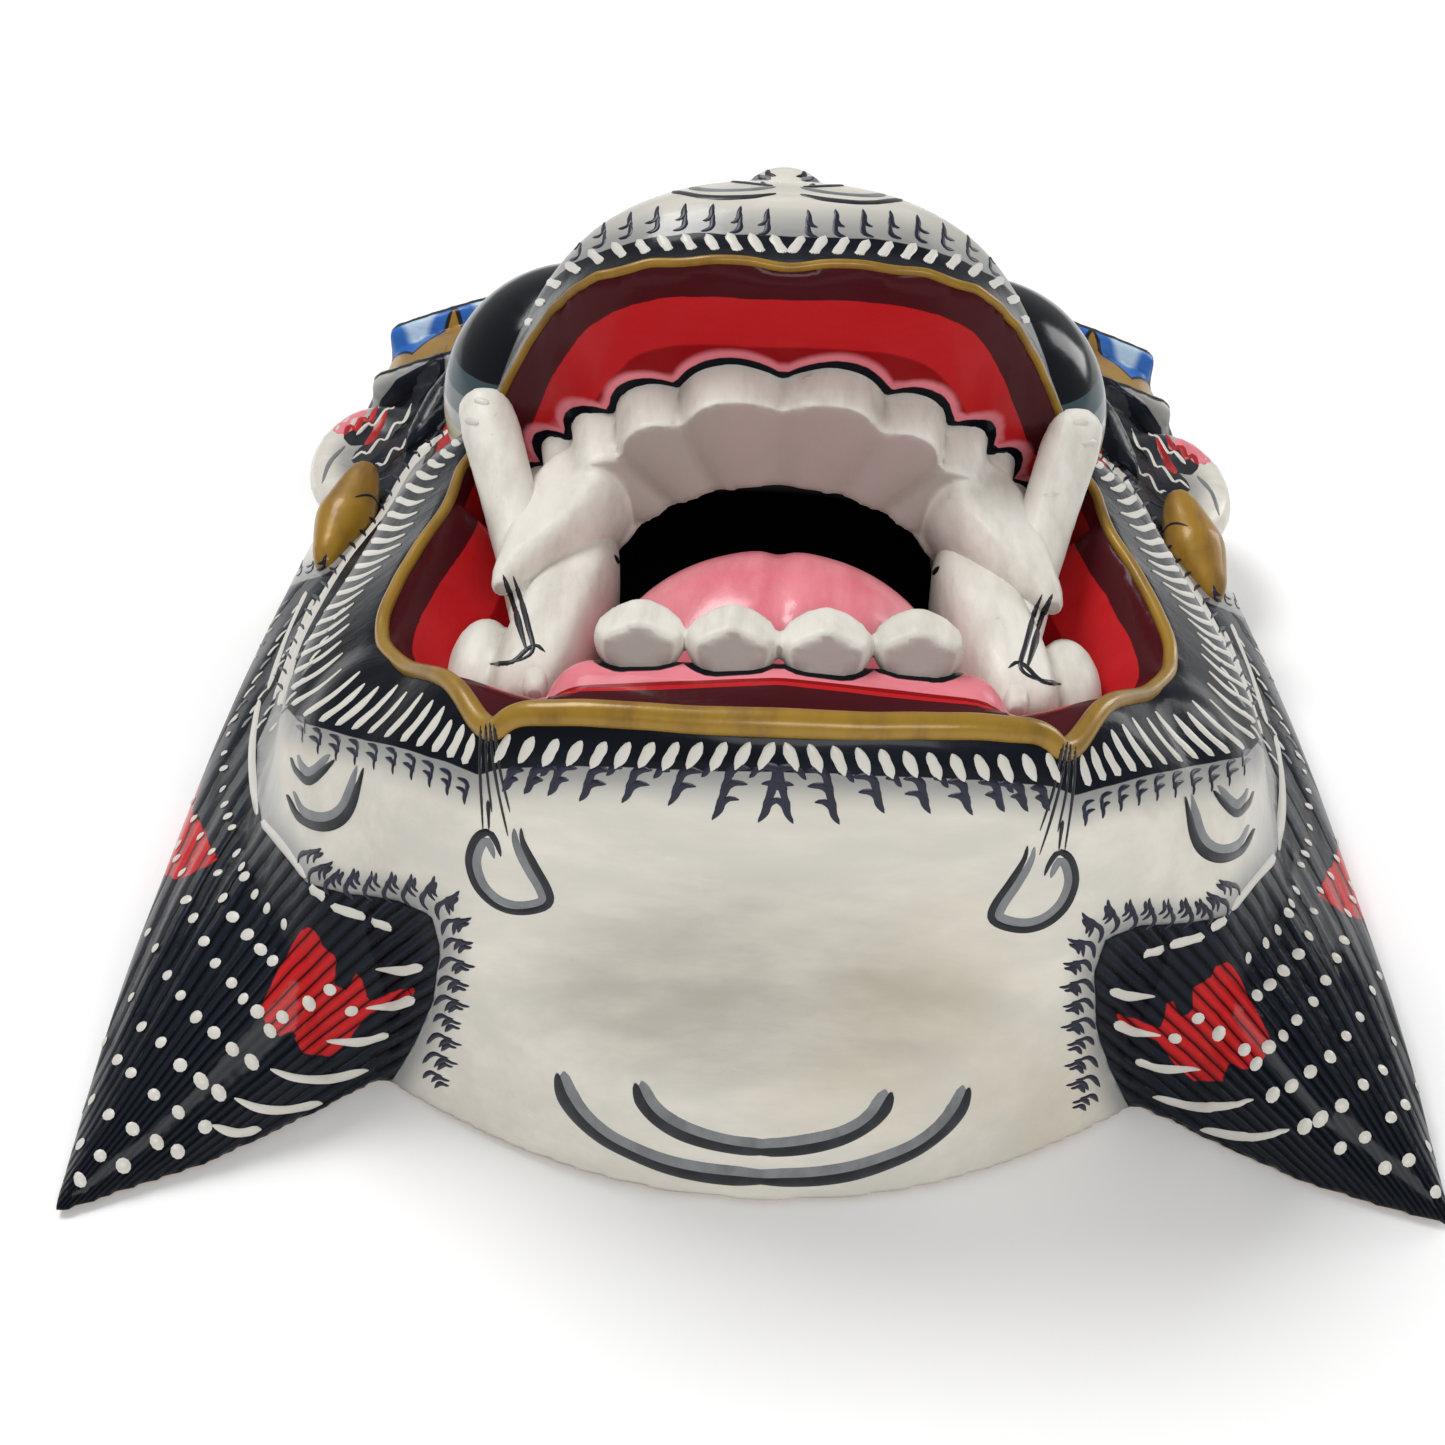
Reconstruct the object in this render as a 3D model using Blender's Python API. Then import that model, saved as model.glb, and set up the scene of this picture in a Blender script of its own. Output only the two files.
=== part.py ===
"""A monkey king's mask, carved from one block of wood and lying on its back rim with the face up.

Metres, +Z up. X runs across the face, -Y is the chin, +Y is the crown, and Z is the depth of the carving.
The carving is a field, negative inside the wood, that is built up from named masses and cuts,
and then skinned where it crosses zero. It is the same on both sides of X = 0.
"""

import bpy
import numpy as np

# Plan of the back rim
CROWN_Y = 0.1172
CROWN_HALF_WIDTH = 0.0845
SIDE_HALF_WIDTH = 0.0955
SIDE_WIDEST_Y = -0.045
BEARD_TIP_Y = -0.1222
SHORT_BEARD_TIP_Y = -0.1146
CHIN_Y = -0.1127
CHIN_NOTCH_X = 0.0545
CHIN_NOTCH_Y = -0.0925

# Face plate: the low dome that carries cheeks, ears, hair and beard
RIM_HEIGHT = 0.010
RIM_ROUNDING = 0.011
DOME_HEIGHT = 0.031
BEARD_FALL = 0.052
BEARD_BELLY = 0.003

# Lower muzzle, jowls and chin block
MUZZLE_HALF_WIDTH = 0.0735
MUZZLE_HALF_LENGTH = 0.062
MUZZLE_Y = -0.043
MUZZLE_BASE = 0.020
MUZZLE_TOP = 0.062
JOWL_RADIUS = 0.0185
JOWL_X = 0.0480
JOWL_Y = -0.0710
JOWL_Z = 0.0430
CHIN_BLOCK_HALF_WIDTH = 0.050
CHIN_BLOCK_HALF_LENGTH = 0.046
CHIN_TOP = 0.070
CHIN_LIP_Y = -0.1048
CHIN_HOLLOW = 0.0055
CHIN_HOLLOW_Z = 0.041
CHIN_BULGE = 0.0040
CHIN_BULGE_Z = 0.013

# Snout and nose
SNOUT_HALF_WIDTH = 0.0525
SNOUT_HALF_LENGTH = 0.060
SNOUT_Y = -0.010
SNOUT_BASE = 0.030
SNOUT_TOP = 0.0985
NOSE_Y = 0.033
NOSE_Z = 0.0825
NOSE_RADIUS = 0.0085

# Eyes, brow, crown, ears and ear drops
EYE_X = 0.0365
EYE_Y = 0.046
EYE_Z = 0.041
EYE_RADIUS = 0.0250
LID_RADIUS = 0.0034
BROW_RADIUS = 0.0062
CROWN_BAND = 0.027
CROWN_STEP = 0.003
CROWN_CORNER_HEIGHT = 0.016
CROWN_CENTRE_HEIGHT = 0.034
CROWN_BEAD_RADIUS = 0.0028
EAR_X = 0.0800
EAR_Y = 0.060
EAR_LENGTH = 0.030
DROP_X = 0.0785
DROP_Y = 0.0295
DROP_LENGTH = 0.027
DROP_RADIUS = 0.0065

# Mouth
LIP_RADIUS = 0.0022
LIP_APRON = 0.0135
LIP_APRON_SLOPE = 0.78
SIDE_LIP_RUN = 0.0100
LOWER_LIP_RUN = 0.0050
LOWER_GUM_STEP = 0.018
MOUTH_FLOOR = 0.045
UPPER_TEETH_Y = -0.0300
UPPER_GUM_Y = -0.0040
ARCH_Z = 0.045
ARCH_OUTER_HALF_WIDTH = 0.0385
ARCH_OUTER_HEIGHT = 0.0350
ARCH_INNER_HALF_WIDTH = 0.0262
ARCH_INNER_HEIGHT = 0.0200
FANG_ROOT_RADIUS = 0.0070
FANG_TIP_RADIUS = 0.0016
TUSK_RADIUS = 0.0032
LOWER_TOOTH_WIDTH = 0.0128
TONGUE_HALF_WIDTH = 0.0245
TONGUE_TOP = 0.0680

# Hollow back and throat
HOLLOW_HALF_WIDTH = 0.0740
HOLLOW_HALF_LENGTH = 0.0960
HOLLOW_HEIGHT = 0.0440
THROAT_HALF_WIDTH = 0.0275
THROAT_HALF_LENGTH = 0.0340
THROAT_HALF_HEIGHT = 0.0220
THROAT_Y = -0.0200
THROAT_Z = 0.0455

# Carved locks of the beard
LOCK_DEPTH = 0.0012
LOCKS_PER_RADIAN = 6.0
LOCK_SWEEP = 4.0

# Meshing
CELL = 0.0024
UNDERCUT = 0.006
MARGIN = 0.006
MOST_TRIANGLES = 9300
MOST_PINCH_PASSES = 12

WOOD_WHITE = (0.76, 0.74, 0.68, 1.0)

# The crest of the lips from the middle of the upper lip round to the middle of the lower one: x, y, z
LIP_CREST = np.array([
    (0.0000, -0.0215, 0.0980),
    (0.0160, -0.0200, 0.0973),
    (0.0275, -0.0180, 0.0940),
    (0.0340, -0.0140, 0.0880),
    (0.0395, -0.0105, 0.0785),
    (0.0445, -0.0095, 0.0680),
    (0.0478, -0.0140, 0.0622),
    (0.0500, -0.0300, 0.0610),
    (0.0540, -0.0450, 0.0592),
    (0.0555, -0.0600, 0.0580),
    (0.0515, -0.0710, 0.0588),
    (0.0424, -0.0850, 0.0660),
    (0.0362, -0.0955, 0.0660),
    (0.0310, -0.0975, 0.0703),
    (0.0150, -0.1002, 0.0722),
    (0.0000, -0.1010, 0.0728),
])


# The middle lines of one brow and one lower tusk: x, y, z
BROW_LINE = [(0.0, 0.068, 0.0530), (0.018, 0.074, 0.0520), (0.040, 0.0765, 0.0450),
             (0.060, 0.066, 0.0330), (0.068, 0.052, 0.0260)]
TUSK_LINE = [(0.0325, -0.0740, 0.0570), (0.0368, -0.0560, 0.0555), (0.0418, -0.0370, 0.0590),
             (0.0452, -0.0180, 0.0700)]


def smooth_max(a, b, blend):
    """The larger of a and b, rounded over where they are within blend of each other."""
    share = np.clip(0.5 + 0.5 * (a - b) / blend, 0.0, 1.0)
    return b + (a - b) * share + blend * share * (1.0 - share)


def smooth_min(a, b, blend):
    return -smooth_max(-a, -b, blend)


def smooth_step(low, high, value):
    share = np.clip((value - low) / (high - low), 0.0, 1.0)
    return share * share * (3.0 - 2.0 * share)


def ball(x, y, z, centre, radii):
    """Roughly the distance to an ellipsoid."""
    cx, cy, cz = centre
    rx, ry, rz = radii
    reach = np.sqrt(((x - cx) / rx) ** 2 + ((y - cy) / ry) ** 2 + ((z - cz) / rz) ** 2)
    return (reach - 1.0) * min(radii)


def block(x, y, z, centre, radii):
    """Roughly the distance to a pillow: an ellipsoid with fuller corners."""
    cx, cy, cz = centre
    rx, ry, rz = radii
    reach = (np.abs((x - cx) / rx) ** 3.5 + np.abs((y - cy) / ry) ** 3.5 + np.abs((z - cz) / rz) ** 3.5) ** (1 / 3.5)
    return (reach - 1.0) * min(radii)


def round_bar(x, y, z, start, end, start_radius, end_radius):
    """Distance to a bar with round ends that tapers from one radius to the other."""
    ax, ay, az = start
    bx, by, bz = (end[i] - start[i] for i in range(3))
    along = ((x - ax) * bx + (y - ay) * by + (z - az) * bz) / (bx * bx + by * by + bz * bz)
    along = np.clip(along, 0.0, 1.0)
    gap = np.sqrt((x - ax - along * bx) ** 2 + (y - ay - along * by) ** 2 + (z - az - along * bz) ** 2)
    return gap - (start_radius + (end_radius - start_radius) * along)


def bar_chain(x, y, z, points, radii, blend):
    """Round bars joined end to end through the points."""
    field = None
    for i in range(len(points) - 1):
        bar = round_bar(x, y, z, points[i], points[i + 1], radii[i], radii[i + 1])
        field = bar if field is None else smooth_min(field, bar, blend)
    return field


def smooth_curve(points, steps):
    """Points along a Catmull-Rom curve through the given ones."""
    ends = np.vstack([2 * points[0] - points[1], points, 2 * points[-1] - points[-2]])
    curve = []
    for i in range(1, len(ends) - 2):
        before, start, end, after = ends[i - 1:i + 3]
        for t in np.arange(steps) / steps:
            curve.append(0.5 * (2 * start + (end - before) * t
                                + (2 * before - 5 * start + 4 * end - after) * t ** 2
                                + (3 * start - before - 3 * end + after) * t ** 3))
    curve.append(points[-1])
    return np.array(curve)


def tapered_curve(x, y, z, line, radii):
    """A round bar along the smooth curve through the points of the line, with a radius for each."""
    steps = 4
    places = np.arange(steps * (len(line) - 1) + 1) / steps
    radii = np.interp(places, np.arange(len(line)), radii)
    return bar_chain(x, y, z, smooth_curve(np.array(line), steps), radii, 0.0006)


def signed_distance_to(x, y, outline):
    """Distance in plan to an open outline that starts and ends on x = 0, negative on its inner side.

    The second result says how far along the outline the nearest point is, in points."""
    nearest = np.full(np.broadcast(x, y).shape, 1e9)
    place = np.zeros_like(nearest)
    inside = np.zeros(nearest.shape, bool)
    for i in range(len(outline) - 1):
        ax, ay = outline[i, :2]
        bx, by = outline[i + 1, :2] - outline[i, :2]
        along = np.clip(((x - ax) * bx + (y - ay) * by) / max(bx * bx + by * by, 1e-12), 0.0, 1.0)
        gap = np.hypot(x - ax - along * bx, y - ay - along * by)
        closer = gap < nearest
        nearest = np.where(closer, gap, nearest)
        place = np.where(closer, i + along, place)
        spans = (ay > y) != (ay + by > y)
        crossing = ax + bx * (y - ay) / (by if abs(by) > 1e-12 else 1e-12)
        inside ^= spans & (x < crossing)
    return np.where(inside, -nearest, nearest), place


def rim_outline(tip_y):
    """Half of the back rim in plan, from the middle of the crown to the middle of the chin."""
    bow = SIDE_HALF_WIDTH - CROWN_HALF_WIDTH
    crown = [(share * CROWN_HALF_WIDTH, CROWN_Y) for share in (0.0, 0.35, 0.7, 0.97)]
    side = []
    for share in np.linspace(0.03, 1.0, 9):
        y = CROWN_Y + share * (SIDE_WIDEST_Y - CROWN_Y)
        side.append((CROWN_HALF_WIDTH + bow * np.sin(0.5 * np.pi * share), y))
    beard = [(SIDE_HALF_WIDTH, 0.5 * (SIDE_WIDEST_Y + tip_y)),
             (SIDE_HALF_WIDTH, tip_y),
             (0.5 * (SIDE_HALF_WIDTH + CHIN_NOTCH_X), 0.45 * tip_y + 0.55 * CHIN_NOTCH_Y - BEARD_BELLY)]
    chin = []
    for share in np.linspace(1.0, 0.0, 16):
        chin.append((share * CHIN_NOTCH_X, CHIN_Y + (CHIN_NOTCH_Y - CHIN_Y) * share ** 2))
    return np.array(crown + side + beard + chin)


def rim_half_width(y):
    """Half-width of the back rim at y, between crown and beard tip."""
    share = np.clip((CROWN_Y - y) / (CROWN_Y - SIDE_WIDEST_Y), 0.0, 1.0)
    return CROWN_HALF_WIDTH + (SIDE_HALF_WIDTH - CROWN_HALF_WIDTH) * np.sin(0.5 * np.pi * share)


def mound(x, y, centre_y, half_width, half_length, base, top, squareness, crest):
    """Height of a rounded block: flat-topped for a high crest, boxy in plan for a high squareness."""
    reach = (np.abs(x / half_width) ** squareness
             + np.abs((y - centre_y) / half_length) ** squareness) ** (1.0 / squareness)
    return base + (top - base) * np.sqrt(np.clip(1.0 - reach ** crest, 0.0, 1.0)) - 0.12 * np.clip(reach - 1.0, 0.0, 1.0)


def beard_locks(x, y):
    """Depth of the carved grooves that sweep through the beard to its tip."""
    over, up = SIDE_HALF_WIDTH + 0.002 - x, y - BEARD_TIP_Y + 0.004
    turn = np.arctan2(over, up)
    phase = 2 * np.pi * LOCKS_PER_RADIAN * (turn + LOCK_SWEEP * np.hypot(over, up) ** 2)
    grooves = np.abs(np.sin(0.5 * phase)) ** 0.7 - 0.75
    reach = np.hypot(x / MUZZLE_HALF_WIDTH, (y - MUZZLE_Y) / (MUZZLE_HALF_LENGTH + 0.008))
    where = smooth_step(0.98, 1.10, reach) * smooth_step(0.030, 0.0, y) * smooth_step(0.050, 0.058, x)
    fade = smooth_step(0.012, 0.040, np.hypot(over, up))
    return LOCK_DEPTH * grooves * where * fade


def face_height(x, y, crest_gap, crest_height):
    """Height of the carved front over the back plane, in plan, as if the mouth were filled to its lips."""
    side = x / rim_half_width(y)
    fall = smooth_step(BEARD_TIP_Y - 0.01, BEARD_TIP_Y + BEARD_FALL, y)
    plate = RIM_HEIGHT * (0.4 + 0.6 * fall) + DOME_HEIGHT * fall * np.clip(1.0 - side ** 2.5, 0.0, 1.0)
    plate = plate + beard_locks(x, y)
    muzzle = mound(x, y, MUZZLE_Y, MUZZLE_HALF_WIDTH, MUZZLE_HALF_LENGTH,
                   MUZZLE_BASE, MUZZLE_TOP, 2.6, 4.0)
    snout = mound(x, y, SNOUT_Y, SNOUT_HALF_WIDTH, SNOUT_HALF_LENGTH, SNOUT_BASE, SNOUT_TOP, 2.4, 3.0)
    chin = mound(x, y, CHIN_LIP_Y, CHIN_BLOCK_HALF_WIDTH, CHIN_BLOCK_HALF_LENGTH,
                 MUZZLE_BASE, CHIN_TOP, 4.0, 4.0)
    height = smooth_max(plate, muzzle, 0.004)
    height = smooth_max(height, chin, 0.004)
    height = smooth_max(height, snout, 0.005)
    band = CROWN_STEP + crown_arch(x)
    in_band = smooth_step(CROWN_Y - CROWN_BAND - 0.0025, CROWN_Y - CROWN_BAND + 0.0005, y)
    height = height * (1.0 - in_band) + band * in_band
    apron = crest_height - LIP_APRON_SLOPE * np.clip(crest_gap, 0.0, 1.0)
    near = smooth_step(LIP_APRON + 0.010, LIP_APRON - 0.002, crest_gap)
    height = height * (1.0 - near) + smooth_max(apron, height - 0.004, 0.003) * near
    return np.where(crest_gap < 0.0, crest_height, height)


def crown_arch(x):
    """Height of the crown band across the brow, before the step up to it."""
    return CROWN_CORNER_HEIGHT + (CROWN_CENTRE_HEIGHT - CROWN_CORNER_HEIGHT) * (1.0 - (x / CROWN_HALF_WIDTH) ** 2)


def mouth_floor(y, crest_gap, crest_height):
    """Height of the gums and of the lips' inner slopes, in plan. The upper lip has no slope: it is a cliff."""
    run = SIDE_LIP_RUN + (LOWER_LIP_RUN - SIDE_LIP_RUN) * smooth_step(-0.086, -0.095, y)
    floor = MOUTH_FLOOR + LOWER_GUM_STEP * smooth_step(-0.073, -0.088, y)
    slope = np.exp(-((np.clip(-crest_gap, 0.0, 1.0) / run) ** 1.4))
    return floor + (crest_height - floor) * slope * (1.0 - upper_lip_share(y))


def upper_lip_share(y):
    return smooth_step(-0.030, -0.016, y)


def plan_fields(x, y):
    """Over the plan: distance to the rim, distance to the lip crest, and heights of the front and the mouth's floor.

    The beard on the +X side is cut a little shorter, and all else is the same on both sides."""
    left, _ = signed_distance_to(np.abs(x), y, rim_outline(BEARD_TIP_Y))
    right, _ = signed_distance_to(np.abs(x), y, rim_outline(SHORT_BEARD_TIP_Y))
    rim = np.where(x < 0.0, left, right)
    x = np.abs(x)
    crest = smooth_curve(LIP_CREST, 6)
    gap, place = signed_distance_to(x, y, crest)
    height = np.interp(place.ravel(), np.arange(len(crest)), crest[:, 2]).reshape(place.shape)
    return rim, gap, face_height(x, y, gap, height), mouth_floor(y, gap, height)


def chin_wall(x, z):
    """How far forward the front of the chin stands at each height: bulge below, hollow above."""
    arc = (CHIN_NOTCH_Y - CHIN_Y) * (x / CHIN_NOTCH_X) ** 2
    lean = np.clip(z / CHIN_TOP, 0.0, 1.1)
    wall = CHIN_Y + (CHIN_LIP_Y - CHIN_Y) * lean + arc * (1.0 - 0.55 * lean)
    middle = np.exp(-((x / 0.034) ** 4))
    wall = wall + CHIN_HOLLOW * middle * np.exp(-(((z - CHIN_HOLLOW_Z) / 0.017) ** 2))
    wall = wall - CHIN_BULGE * middle * np.exp(-(((z - CHIN_BULGE_Z) / 0.012) ** 2))
    return wall - 3.0 * np.clip(x - CHIN_NOTCH_X + 0.006 * lean, 0.0, 1.0)


def teeth(x, y, z):
    """Upper arch with scalloped front and fangs, lower front teeth, side teeth and the two tusks."""
    turn = np.arctan2(x / ARCH_OUTER_HALF_WIDTH, (z - ARCH_Z) / ARCH_OUTER_HEIGHT)
    between = 1.0 - np.abs(np.sin(np.pi * (1.75 * turn + 1.30 * turn ** 2))) ** 0.5
    scallop = 1.0 - 0.055 * between
    outer = np.hypot(x / ARCH_OUTER_HALF_WIDTH, (z - ARCH_Z) / ARCH_OUTER_HEIGHT)
    inner = np.hypot(x / ARCH_INNER_HALF_WIDTH, (z - ARCH_Z) / ARCH_INNER_HEIGHT)
    edge = UPPER_TEETH_Y + 0.0005 * between
    arch = smooth_max((outer - scallop) * ARCH_OUTER_HEIGHT, (1.0 - inner) * ARCH_INNER_HEIGHT, 0.001)
    arch = smooth_max(arch, edge - y, 0.0012)
    arch = np.maximum(arch, y - UPPER_GUM_Y)
    arch = np.maximum(arch, ARCH_Z - 0.004 - z)
    field = arch
    fang = round_bar(x, y, z, (0.0285, -0.0270, 0.0590), (0.0394, -0.0520, 0.0600),
                     FANG_ROOT_RADIUS, FANG_TIP_RADIUS)
    field = smooth_min(field, fang, 0.002)
    for i in range(2):
        centre = ((i + 0.5) * LOWER_TOOTH_WIDTH, -0.0795 + 0.0015 * i, 0.0682 - 0.0004 * i)
        tooth = block(x, y, z, centre, (0.515 * LOWER_TOOTH_WIDTH, 0.0062, 0.0050))
        field = smooth_min(field, tooth, 0.0005)
    side = block(x, y, z, (0.0296, -0.0520, 0.0505), (0.0068, 0.0230, 0.0115))
    field = smooth_min(field, side, 0.001)
    outer_tooth = ball(x, y, z, (0.0415, -0.0610, 0.0510), (0.0048, 0.0105, 0.0070))
    field = smooth_min(field, outer_tooth, 0.001)
    tusk = tapered_curve(x, y, z, TUSK_LINE, TUSK_RADIUS * np.array([1.3, 1.0, 1.0, 1.0]))
    return smooth_min(field, tusk, 0.0008)


def features(x, y, z):
    """Jowls, nose, eyes, lids, brows, crown beads, ears and ear drops."""
    field = ball(x, y, z, (JOWL_X, JOWL_Y, JOWL_Z), (JOWL_RADIUS, JOWL_RADIUS, 0.9 * JOWL_RADIUS))
    nose = ball(x, y, z, (0.0, NOSE_Y, NOSE_Z), (NOSE_RADIUS, 1.1 * NOSE_RADIUS, NOSE_RADIUS))
    wing = ball(x, y, z, (0.95 * NOSE_RADIUS, NOSE_Y - 0.001, NOSE_Z - 0.003),
                (0.7 * NOSE_RADIUS, 0.8 * NOSE_RADIUS, 0.75 * NOSE_RADIUS))
    bridge = round_bar(x, y, z, (0.0, NOSE_Y, NOSE_Z - 0.003), (0.0, 0.070, 0.048), 0.008, 0.009)
    nose = smooth_min(smooth_min(nose, wing, 0.003), bridge, 0.005)
    field = smooth_min(field, nose, 0.003)
    forehead = ball(x, y, z, (0.0, 0.072, 0.018), (0.066, 0.034, 0.030))
    field = smooth_min(field, forehead, 0.004)
    brow = tapered_curve(x, y, z, BROW_LINE, BROW_RADIUS * np.array([1.0, 1.15, 1.0, 0.8, 0.5]))
    field = smooth_min(field, brow, 0.003)
    eye = ball(x, y, z, (EYE_X, EYE_Y, EYE_Z), (EYE_RADIUS, EYE_RADIUS, EYE_RADIUS))
    field = smooth_min(field, eye, 0.0008)
    lid_plane = EYE_Z + 0.10 * (y - EYE_Y) - 0.35 * (x - EYE_X) - 0.004
    ring = np.hypot(np.hypot(x - EYE_X, y - EYE_Y) - EYE_RADIUS, z - lid_plane) - LID_RADIUS
    field = smooth_min(field, ring, 0.001)
    for y_bead in (CROWN_Y - CROWN_BAND + 0.0015, CROWN_Y - 0.5 * CROWN_BEAD_RADIUS):
        bead = np.hypot(y - y_bead, z - crown_arch(x) - CROWN_STEP) - CROWN_BEAD_RADIUS
        field = smooth_min(field, np.maximum(bead, x - CROWN_HALF_WIDTH + 0.001), 0.0008)
    ear_bed = ball(x, y, z, (EAR_X, EAR_Y, 0.0150), (0.0095, 0.5 * EAR_LENGTH, 0.0062))
    field = smooth_min(field, ear_bed, 0.002)
    ear_reach = np.hypot((x - EAR_X + 0.0015) / 0.0085, (y - EAR_Y) / (0.5 * EAR_LENGTH))
    ear = np.hypot((ear_reach - 1.0) * 0.0085, (z - 0.0185) * 0.9) - 0.0036
    field = smooth_min(field, ear, 0.002)
    drop_line = [(DROP_X - 0.002, DROP_Y + 0.5 * DROP_LENGTH, 0.0270), (DROP_X, DROP_Y, 0.0225),
                 (DROP_X + 0.002, DROP_Y - 0.5 * DROP_LENGTH, 0.0200)]
    drop = tapered_curve(x, y, z, drop_line, DROP_RADIUS * np.array([0.5, 1.0, 0.4]))
    return smooth_min(field, drop, 0.0008)


def above(height, z, cell):
    """Roughly the distance above a surface whose height is given in plan."""
    slope_x, slope_y = np.gradient(height, cell)
    steepness = np.sqrt(1.0 + np.minimum(np.hypot(slope_x, slope_y), 6.0) ** 2)
    return (z - height[..., None]) / steepness[..., None]


def mask_field(x, y, z):
    """The whole carving: negative in the wood, in metres from its surface near the surface."""
    rim, crest_gap, height, floor = plan_fields(x[..., 0], y[..., 0])
    x = np.abs(x)
    cell = y[0, 1, 0] - y[0, 0, 0]
    body = smooth_max(above(height, z, cell), rim[..., None], RIM_ROUNDING)
    body = smooth_max(body, chin_wall(x, z) - y, 0.004)
    body = smooth_min(body, features(x, y, z), 0.0015)
    body = smooth_max(body, np.minimum(-crest_gap[..., None], above(floor, z, cell)), 0.0010)
    crest = smooth_curve(LIP_CREST, 3)
    lip = bar_chain(x, y, z, [tuple(point) for point in crest], [LIP_RADIUS] * len(crest), 0.0004)
    body = smooth_min(body, lip, 0.0015)
    tongue = ball(x, y, z, (0.0, -0.060, TONGUE_TOP - 0.018), (TONGUE_HALF_WIDTH, 0.0215, 0.018))
    gum = round_bar(x, y, z, (0.0, -0.0838, 0.0610), (0.024, -0.0818, 0.0600), 0.0068, 0.0062)
    body = smooth_min(body, smooth_min(tongue, gum, 0.002), 0.001)
    throat = ball(x, y, z, (0.0, THROAT_Y, THROAT_Z),
                  (THROAT_HALF_WIDTH, THROAT_HALF_LENGTH, THROAT_HALF_HEIGHT))
    body = smooth_max(body, -throat, 0.002)
    body = smooth_min(body, teeth(x, y, z), 0.0008)
    hollow = ball(x, y, z, (0.0, 0.0, 0.0), (HOLLOW_HALF_WIDTH, HOLLOW_HALF_LENGTH, HOLLOW_HEIGHT))
    return smooth_max(body, -hollow, 0.0015)


def without_pinches(field, cell):
    """The field with wood added at the few grid points where its surface would touch itself."""
    for _ in range(MOST_PINCH_PASSES):
        inside = field < 0
        pinched = np.zeros_like(inside)
        for axis in range(3):
            grid = np.moveaxis(inside, axis, 2)
            marks = np.moveaxis(pinched, axis, 2)
            a, b, c, d = grid[:-1, :-1], grid[1:, :-1], grid[:-1, 1:], grid[1:, 1:]
            crossed = (a == d) & (b == c) & (a != b)
            for corner in (marks[:-1, :-1], marks[1:, :-1], marks[:-1, 1:], marks[1:, 1:]):
                corner |= crossed
        size = np.array(field.shape) - 1
        corners = [(i, j, k) for i in (0, 1) for j in (0, 1) for k in (0, 1)]
        at = [tuple(slice(n, size[m] + n) for m, n in enumerate(corner)) for corner in corners]
        filled = sum(inside[place].astype(np.int8) for place in at)
        for first in range(4):
            pair = at[first], at[7 - first]
            for count, wood in ((2, True), (6, False)):
                lone = (filled == count) & (inside[pair[0]] == wood) & (inside[pair[1]] == wood)
                for place in at:
                    pinched[place] |= lone
        extra = pinched & ~inside
        if not extra.any():
            break
        field = np.where(extra, -0.05 * cell, field)
    return field


def skin(field, low, cell):
    """Points and four-sided faces of the surface where the field crosses zero.

    Each grid cell that the surface passes through gives one point, at the mean of the crossings on its edges,
    and each crossed grid edge gives the face between the four cells around it."""
    size = np.array(field.shape) - 1
    total = np.zeros((*size, 3), np.float32)
    count = np.zeros(size, np.int8)
    corner = {}
    for i in (0, 1):
        for j in (0, 1):
            for k in (0, 1):
                corner[i, j, k] = field[i:size[0] + i, j:size[1] + j, k:size[2] + k]
    for start in corner:
        for axis in range(3):
            if start[axis]:
                continue
            end = tuple(1 if n == axis else start[n] for n in range(3))
            a, b = corner[start], corner[end]
            crossed = (a < 0) != (b < 0)
            share = np.where(crossed, a / np.where(crossed, a - b, 1.0), 0.0)
            for n in range(3):
                total[..., n] += np.where(crossed, start[n] + (share if n == axis else 0.0), 0.0)
            count += crossed
    used = count > 0
    cells = np.argwhere(used)
    points = low + cell * (cells + total[used] / count[used][:, None])
    index = np.full(size, -1)
    index[used] = np.arange(len(cells))
    faces = []
    for axis in range(3):
        side, other = (axis + 1) % 3, (axis + 2) % 3
        a = np.moveaxis(field, (axis, side, other), (0, 1, 2))
        cell_index = np.moveaxis(index, (axis, side, other), (0, 1, 2))
        inside = a[:, 1:-1, 1:-1] < 0
        for leaving in (True, False):
            crossed = (inside[:-1] == leaving) & (inside[1:] != leaving)
            i, j, k = np.nonzero(crossed)
            ring = [cell_index[i, j, k], cell_index[i, j + 1, k],
                    cell_index[i, j + 1, k + 1], cell_index[i, j, k + 1]]
            faces.append(np.stack(ring if leaving else ring[::-1], axis=1))
    return points, np.concatenate(faces)


def carved_mesh(name, cell):
    low = np.array([-SIDE_HALF_WIDTH - MARGIN, BEARD_TIP_Y - MARGIN, -UNDERCUT - 2 * cell])
    high = np.array([SIDE_HALF_WIDTH + MARGIN, CROWN_Y + MARGIN, SNOUT_TOP + 2 * MARGIN])
    steps = np.ceil((high - low) / cell).astype(int) + 1
    low[0] = -0.5 * cell * (steps[0] - 1)
    x, y, z = np.meshgrid(*[low[n] + cell * np.arange(steps[n]) for n in range(3)], indexing="ij")
    field = np.maximum(mask_field(x, y, z), -UNDERCUT - z)
    field = without_pinches(field, cell).astype(np.float32)
    points, faces = skin(field, low, cell)
    mesh = bpy.data.meshes.new(name)
    mesh.from_pydata(points.tolist(), [], faces.tolist())
    mesh.validate()
    return mesh


def painted_wood():
    material = bpy.data.materials.new("painted_wood")
    material.use_nodes = True
    shader = material.node_tree.nodes["Principled BSDF"]
    shader.inputs["Base Color"].default_value = WOOD_WHITE
    shader.inputs["Roughness"].default_value = 0.35
    shader.inputs["Metallic"].default_value = 0.0
    return material


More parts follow.
